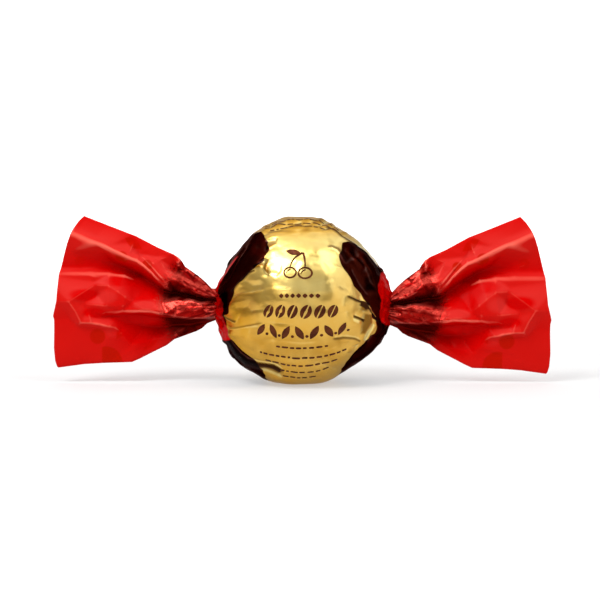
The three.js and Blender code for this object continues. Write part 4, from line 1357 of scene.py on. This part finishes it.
# clouds are how many to a metre, and their detail, and the depth of a grain is in metres
wrapperFinish = {
    # pale gold: where the clouds are pale, and where the top's painted light falls
    "goldPaleCloudsAndLight": (0.84, 0.64, 0.19),
    "goldDeep": (0.70, 0.325, 0.004),
    # painted shade in hollows, painted highlight on crests, painted shadow under a fold
    "goldHollowShade": (0.36, 0.16, 0.006),
    "goldCrestHighlight": (0.90, 0.71, 0.24),
    "paintedFoldShadow": (0.035, 0.010, 0.002),
    "paleShare": 0.8,        # of the painted light on the top in the gold's paleness, against the uneven clouds
    "brown": (0.035, 0.004, 0.002),
    # brown: painted shade in hollows and under a fold, painted highlight on crests
    "brownPaintedShade": (0.003, 0.0005, 0.0005),
    "brownCrestHighlight": (0.12, 0.055, 0.045),
    "red": (0.62, 0.0, 0.0),
    # red: painted shade in hollows, painted highlight on crests
    "redHollowShade": (0.20, 0.0, 0.0),
    "redCrestHighlight": (0.80, 0.02, 0.02),
    "redMetal": 0.7,         # how metallic the red parts are
    "clouds": (150, 3),
    "cloudRange": (0.32, 0.62),
    # mm beyond a limit of the print, and mm of height, at which each mask is 0 and 1; the hollow mask places
    # painted shade and the crest mask painted highlights
    "masks": {"gold": ("goldField", -0.08, 0.08), "red": ("redField", -0.12, 0.12),
              "hollow": ("hollow", 0.02, 0.25), "crest": ("crest", 0.01, 0.11)},
    "goldRoughness": 0.36,
    "darkRoughness": 0.36,
    "shadeRoughness": 0.95,  # under a fold, where the film catches no light
    "specular": 0.1,
    "gloss": (0.1, 0.75),    # of the clear coat on the gold, low down and at the top
    "glossRoughness": 0.22,
    "edgeTint": (0.35, 0.35, 0.35),
    "brownEdgeTint": (0.30, 0.13, 0.09),
    "grain": {"clouds": (900, 3), "strength": 0.25, "depth": 0.0002},
}


def wrapperMaterial():
    # gold, brown and red inside their limits, each with painted shade in hollows and painted highlights on
    # crests, the gold paler under the top's painted light, and matt and nearly black in the painted shadow
    # under a fold
    look = wrapperFinish
    material, tree, shader = newMaterial("printed gold film")
    masks = masksOf(tree, look["masks"])
    gold, red, hollow, crest = [masks[key] for key in ("gold", "red", "hollow", "crest")]
    shade = field(tree, "shade")
    cloud = edgeMask(tree, noise(tree, *look["clouds"]), *look["cloudRange"])
    # the gold's paleness: random clouds, and the painted light of the top
    pale = mixNumber(tree, look["paleShare"], cloud, field(tree, "pale"))
    goldTone = layered(tree, look["goldDeep"], (pale, look["goldPaleCloudsAndLight"]), (hollow, look["goldHollowShade"]),
                       (crest, look["goldCrestHighlight"]), (shade, look["paintedFoldShadow"]))
    brownTone = layered(tree, look["brown"], (crest, look["brownCrestHighlight"]), (hollow, look["brownPaintedShade"]),
                        (shade, look["brownPaintedShade"]))
    redTone = layered(tree, look["red"], (crest, look["redCrestHighlight"]), (hollow, look["redHollowShade"]))
    metal = mixNumber(tree, red, 1.0, look["redMetal"])
    rough = mixNumber(tree, gold, look["darkRoughness"], look["goldRoughness"])
    gloss = mixNumber(tree, shade, mixNumber(tree, field(tree, "pale"), *look["gloss"]), 0.0)
    finish(tree, shader, {
        "Base Color": layered(tree, brownTone, (gold, goldTone), (red, redTone)),
        "Metallic": mixNumber(tree, shade, metal, 0.0),
        "Specular IOR Level": look["specular"],
        "Roughness": mixNumber(tree, shade, rough, look["shadeRoughness"]),
        "Coat Weight": mixNumber(tree, gold, 0.0, gloss),
        "Coat Roughness": look["glossRoughness"],
        "Specular Tint": mixColour(tree, gold, look["brownEdgeTint"], look["edgeTint"]),
    }, look["grain"])
    return material


inkFinish = {
    "ink": (0.12, 0.030, 0.008),
    "deepInk": (0.06, 0.012, 0.004),
    "clouds": (700, 2),
    "cloudRange": (0.35, 0.65),
    "metal": 0.5,
    "specular": 0.15,
    "roughness": 0.4,
}


def inkMaterial():
    # brown ink, a little uneven, that lets the film's metal through
    look = inkFinish
    material, tree, shader = newMaterial("brown ink")
    cloud = edgeMask(tree, noise(tree, *look["clouds"]), *look["cloudRange"])
    plug(tree, mixColour(tree, cloud, look["deepInk"], look["ink"]), shader.inputs["Base Color"])
    for name, key in (("Metallic", "metal"), ("Specular IOR Level", "specular"), ("Roughness", "roughness")):
        shader.inputs[name].default_value = look[key]
    return material


tailFinish = {
    "red": (0.59, 0.0075, 0.005),
    "tone": (0.46, 0.006, 0.0),
    # painted shade: of broad valleys, a darker pure red, and of deep hollows; painted light on faces that
    # look up; painted highlight on crests
    "valley": (0.57, 0.0, 0.0),
    "hollow": (0.24, 0.0, 0.0),
    "paintedLight": (0.61, 0.020, 0.016),
    "crest": (0.90, 0.13, 0.09),
    # at the neck: painted highlight on crests, painted light on faces that look up, the base red, the dark
    # of the print's speckle and of the painted streaks of shade, and painted shade in the pits
    "neckCrestHighlight": (0.74, 0.12, 0.09),
    "neckPaintedLight": (0.56, 0.05, 0.035),
    "neckRed": (0.38, 0.006, 0.004),
    "neckSpeckleAndShade": (0.17, 0.001, 0.001),
    "neckPitShade": (0.10, 0.001, 0.0),
    "metalRange": (11.9, 13.9),  # mm from the neck over which the metallised part of the film ends
    "raggedness": 1.2,       # mm by which its end strays
    "neckMetal": 0.65,
    "speckles": (2600, 1),   # how many to a metre, and their detail
    "speckleRange": (0.42, 0.58),
    "patches": (900, 3),
    "patchRange": (0.25, 0.75),
    # mm of height at which each mask is 0 and 1: painted shade in broad folds (a darker pure red) and in
    # deep ones, painted highlights on crests, and at the neck painted shade, painted highlights on its
    # crests, painted streaks of shade, the streaks that break its crests, and painted shade in the pits
    # between small faces
    "masks": {"valley": ("broad", -0.4, 1.1), "deep": ("hollow", 0.2, 1.3), "crest": ("crest", 0.015, 0.09),
              "neckDeep": ("hollow", 0.1, 0.975), "neckCrestHighlight": ("crest", 0.05, 0.25),
              "streakShade": ("streakShade", -0.3, 1.0), "broken": ("streakShade", 0.9, -0.6),
              "pit": ("crest", -0.02, -0.08)},
    "edgeTint": (0.9, 0.5, 0.45),
    "specular": 0.05,
    "roughness": 0.33,
    "grain": {"clouds": (700, 2), "strength": 0.15, "depth": 0.0002},
}


def tailMaterial():
    # satin red with painted highlights on crests, painted light on faces that look up and painted shade in
    # hollows, and a darker, speckled metal near the neck with painted streaks of shade
    look = tailFinish
    material, tree, shader = newMaterial("red film")
    masks = masksOf(tree, look["masks"])
    speckle = edgeMask(tree, noise(tree, *look["speckles"]), *look["speckleRange"])
    patch = edgeMask(tree, noise(tree, *look["patches"]), *look["patchRange"])
    ragged = combine(tree, "MULTIPLY_ADD", speckle, look["raggedness"], field(tree, "fromNeck"))
    outside = edgeMask(tree, ragged, *look["metalRange"])
    paintedLight = field(tree, "paintedLight")
    # the neck's dark: the print's speckle, and painted streaks of shade; then painted shade in the pits
    dark = combine(tree, "MAXIMUM", combine(tree, "MULTIPLY", speckle, patch), masks["streakShade"])
    pit = combine(tree, "MAXIMUM", masks["neckDeep"], masks["pit"])
    neckTone = layered(tree, look["neckRed"], (paintedLight, look["neckPaintedLight"]), (dark, look["neckSpeckleAndShade"]),
                       (pit, look["neckPitShade"]))
    filmTone = layered(tree, look["red"], (paintedLight, look["paintedLight"]), (field(tree, "tone"), look["tone"]),
                       (masks["valley"], look["valley"]), (masks["deep"], look["hollow"]))
    # painted highlights on the neck's crests, broken by the streaks
    neckCrestHighlight = combine(tree, "MULTIPLY", masks["neckCrestHighlight"], masks["broken"])
    crest = mixNumber(tree, outside, neckCrestHighlight, masks["crest"])
    crestTone = mixColour(tree, outside, look["neckCrestHighlight"], look["crest"])
    finish(tree, shader, {
        "Base Color": layered(tree, neckTone, (outside, filmTone), (crest, crestTone)),
        "Metallic": mixNumber(tree, outside, look["neckMetal"], 0.0),
        "Roughness": look["roughness"],
        "Specular IOR Level": look["specular"],
        "Specular Tint": look["edgeTint"],
    }, look["grain"])
    return material


studio = {
    "lens": 110,
    "sensor": 36,
    "frameWidth": 136.5,     # mm across the picture at the sweet
    "elevation": 4.0,
    "aimX": 0.7,
    "aimAboveMiddle": 0.3,
    "clip": (0.01, 20),      # metres, the nearest and the farthest that the camera shows
    "paper": 0.40,           # brightness of the floor and the sweep
    "paperRoughness": 0.9,
    "glow": 0.42,            # of the floor and the sweep, which are lit from behind
    "fill": 0.10,            # light from all around
    "lightAim": (0, 0, 0.02),
}

# each light: place and size in metres, power in watts, and its aim where it isn't the sweet
lights = {
    "left softbox": {"place": (-0.22, -0.25, 0.42), "size": (0.24, 0.24), "power": 2.2},
    "right softbox": {"place": (0.28, -0.22, 0.41), "size": (0.30, 0.30), "power": 0.85},
    "overhead softbox": {"place": (0.0, 0.12, 0.62), "size": (1.05, 0.85), "power": 2.8},
    "right card": {"place": (0.55, -0.15, 0.14), "size": (0.35, 0.5), "power": 0.7},
    "left card": {"place": (-0.6, -0.1, 0.14), "size": (0.35, 0.5), "power": 0.12},
    "front fill": {"place": (0.0, -0.9, 0.25), "size": (0.9, 0.5), "power": 0.80},
    "backdrop light": {"place": (0.0, 0.55, 1.0), "aim": (0, 0.62, 0.0), "size": (1.4, 0.3), "power": 6.0,
                       "spread": 60},
}

# the sweep, in metres: half its width, where it begins and ends, the radius of its bend, its height
sweepSize = {"half": 1.6, "front": -1.6, "back": 0.9, "bend": 0.5, "top": 1.6, "steps": 24}


def makeCamera():
    # distance = frame width * lens / sensor, raised by the elevation round the point that it aims at
    data = bpy.data.cameras.new("camera")
    data.lens = studio["lens"]
    data.sensor_width = studio["sensor"]
    camera = linked("camera", data)
    distance = studio["frameWidth"] * studio["lens"] / studio["sensor"] * mm
    tilt = math.radians(studio["elevation"])
    aim = (studio["aimX"] * mm, (sweet["middleHeight"] + studio["aimAboveMiddle"]) * mm)
    camera.location = (aim[0], -distance * math.cos(tilt), aim[1] + distance * math.sin(tilt))
    camera.rotation_euler = (math.pi / 2 - tilt, 0, 0)
    data.clip_start, data.clip_end = studio["clip"]
    bpy.context.scene.camera = camera


def makeLights():
    # each area light looks from its place to its aim, and the world adds a faint even light
    for name, setting in lights.items():
        data = bpy.data.lights.new(name, "AREA")
        data.shape = "RECTANGLE"
        data.size, data.size_y = setting["size"]
        data.energy = setting["power"]
        data.spread = math.radians(setting.get("spread", 180))
        light = linked(name, data)
        light.location = setting["place"]
        direction = Vector(setting.get("aim", studio["lightAim"])) - Vector(setting["place"])
        light.rotation_euler = direction.to_track_quat("-Z", "Y").to_euler()
    world = bpy.data.worlds.new("studio")
    bpy.context.scene.world = world
    world.use_nodes = True
    background = world.node_tree.nodes["Background"]
    background.inputs["Color"].default_value = (1, 1, 1, 1)
    background.inputs["Strength"].default_value = studio["fill"]
    bpy.context.scene.view_settings.view_transform = "Standard"


def makeStage():
    # floor in front, quarter-round sweep, wall behind: a profile carried across
    half, bend, wall = sweepSize["half"], sweepSize["bend"], sweepSize["back"]
    turn = np.linspace(0, math.pi / 2, sweepSize["steps"])
    y = np.concatenate([[sweepSize["front"], wall - bend], wall - bend + bend * np.sin(turn), [wall]])
    z = np.concatenate([[0, 0], bend - bend * np.cos(turn), [sweepSize["top"]]])
    vertices = [(x, y[k], z[k]) for k in range(len(y)) for x in (-half, half)]
    faces = [(2 * k, 2 * k + 1, 2 * k + 3, 2 * k + 2) for k in range(len(y) - 1)]
    mesh = bpy.data.meshes.new("sweep")
    mesh.from_pydata(vertices, [], faces)
    mesh.shade_smooth()
    sweep = linked("sweep", mesh)
    material, _, shader = newMaterial("pale paper sweep")
    shader.inputs["Base Color"].default_value = (studio["paper"], studio["paper"], studio["paper"], 1)
    shader.inputs["Roughness"].default_value = studio["paperRoughness"]
    shader.inputs["Emission Color"].default_value = (1, 1, 1, 1)
    shader.inputs["Emission Strength"].default_value = studio["glow"]
    mesh.materials.append(material)


makeCamera()
print("camera made")
wrapperPiece, wrapperSurface = makeWrapper()
wrapperPiece.data.materials.append(wrapperMaterial())
print("ball wrapper made")
printPiece = makePrint(wrapperSurface)
printPiece.data.materials.append(inkMaterial())
print("label print made")
tailFilm = tailMaterial()
leftTail = makeTail(-1, "tail_left", 21)
rightTail = makeTail(1, "tail_right", 22)
print("tails made")
for piece in (leftTail, rightTail):
    piece.data.materials.append(tailFilm)
for piece, slotName in ((wrapperPiece, "gold_film"), (printPiece, "gold_film"), (leftTail, "red_film"),
                        (rightTail, "red_film")):
    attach(piece, "root")
    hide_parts("wrapped_truffle")
makeStage()
makeLights()
print("stage and lights made")
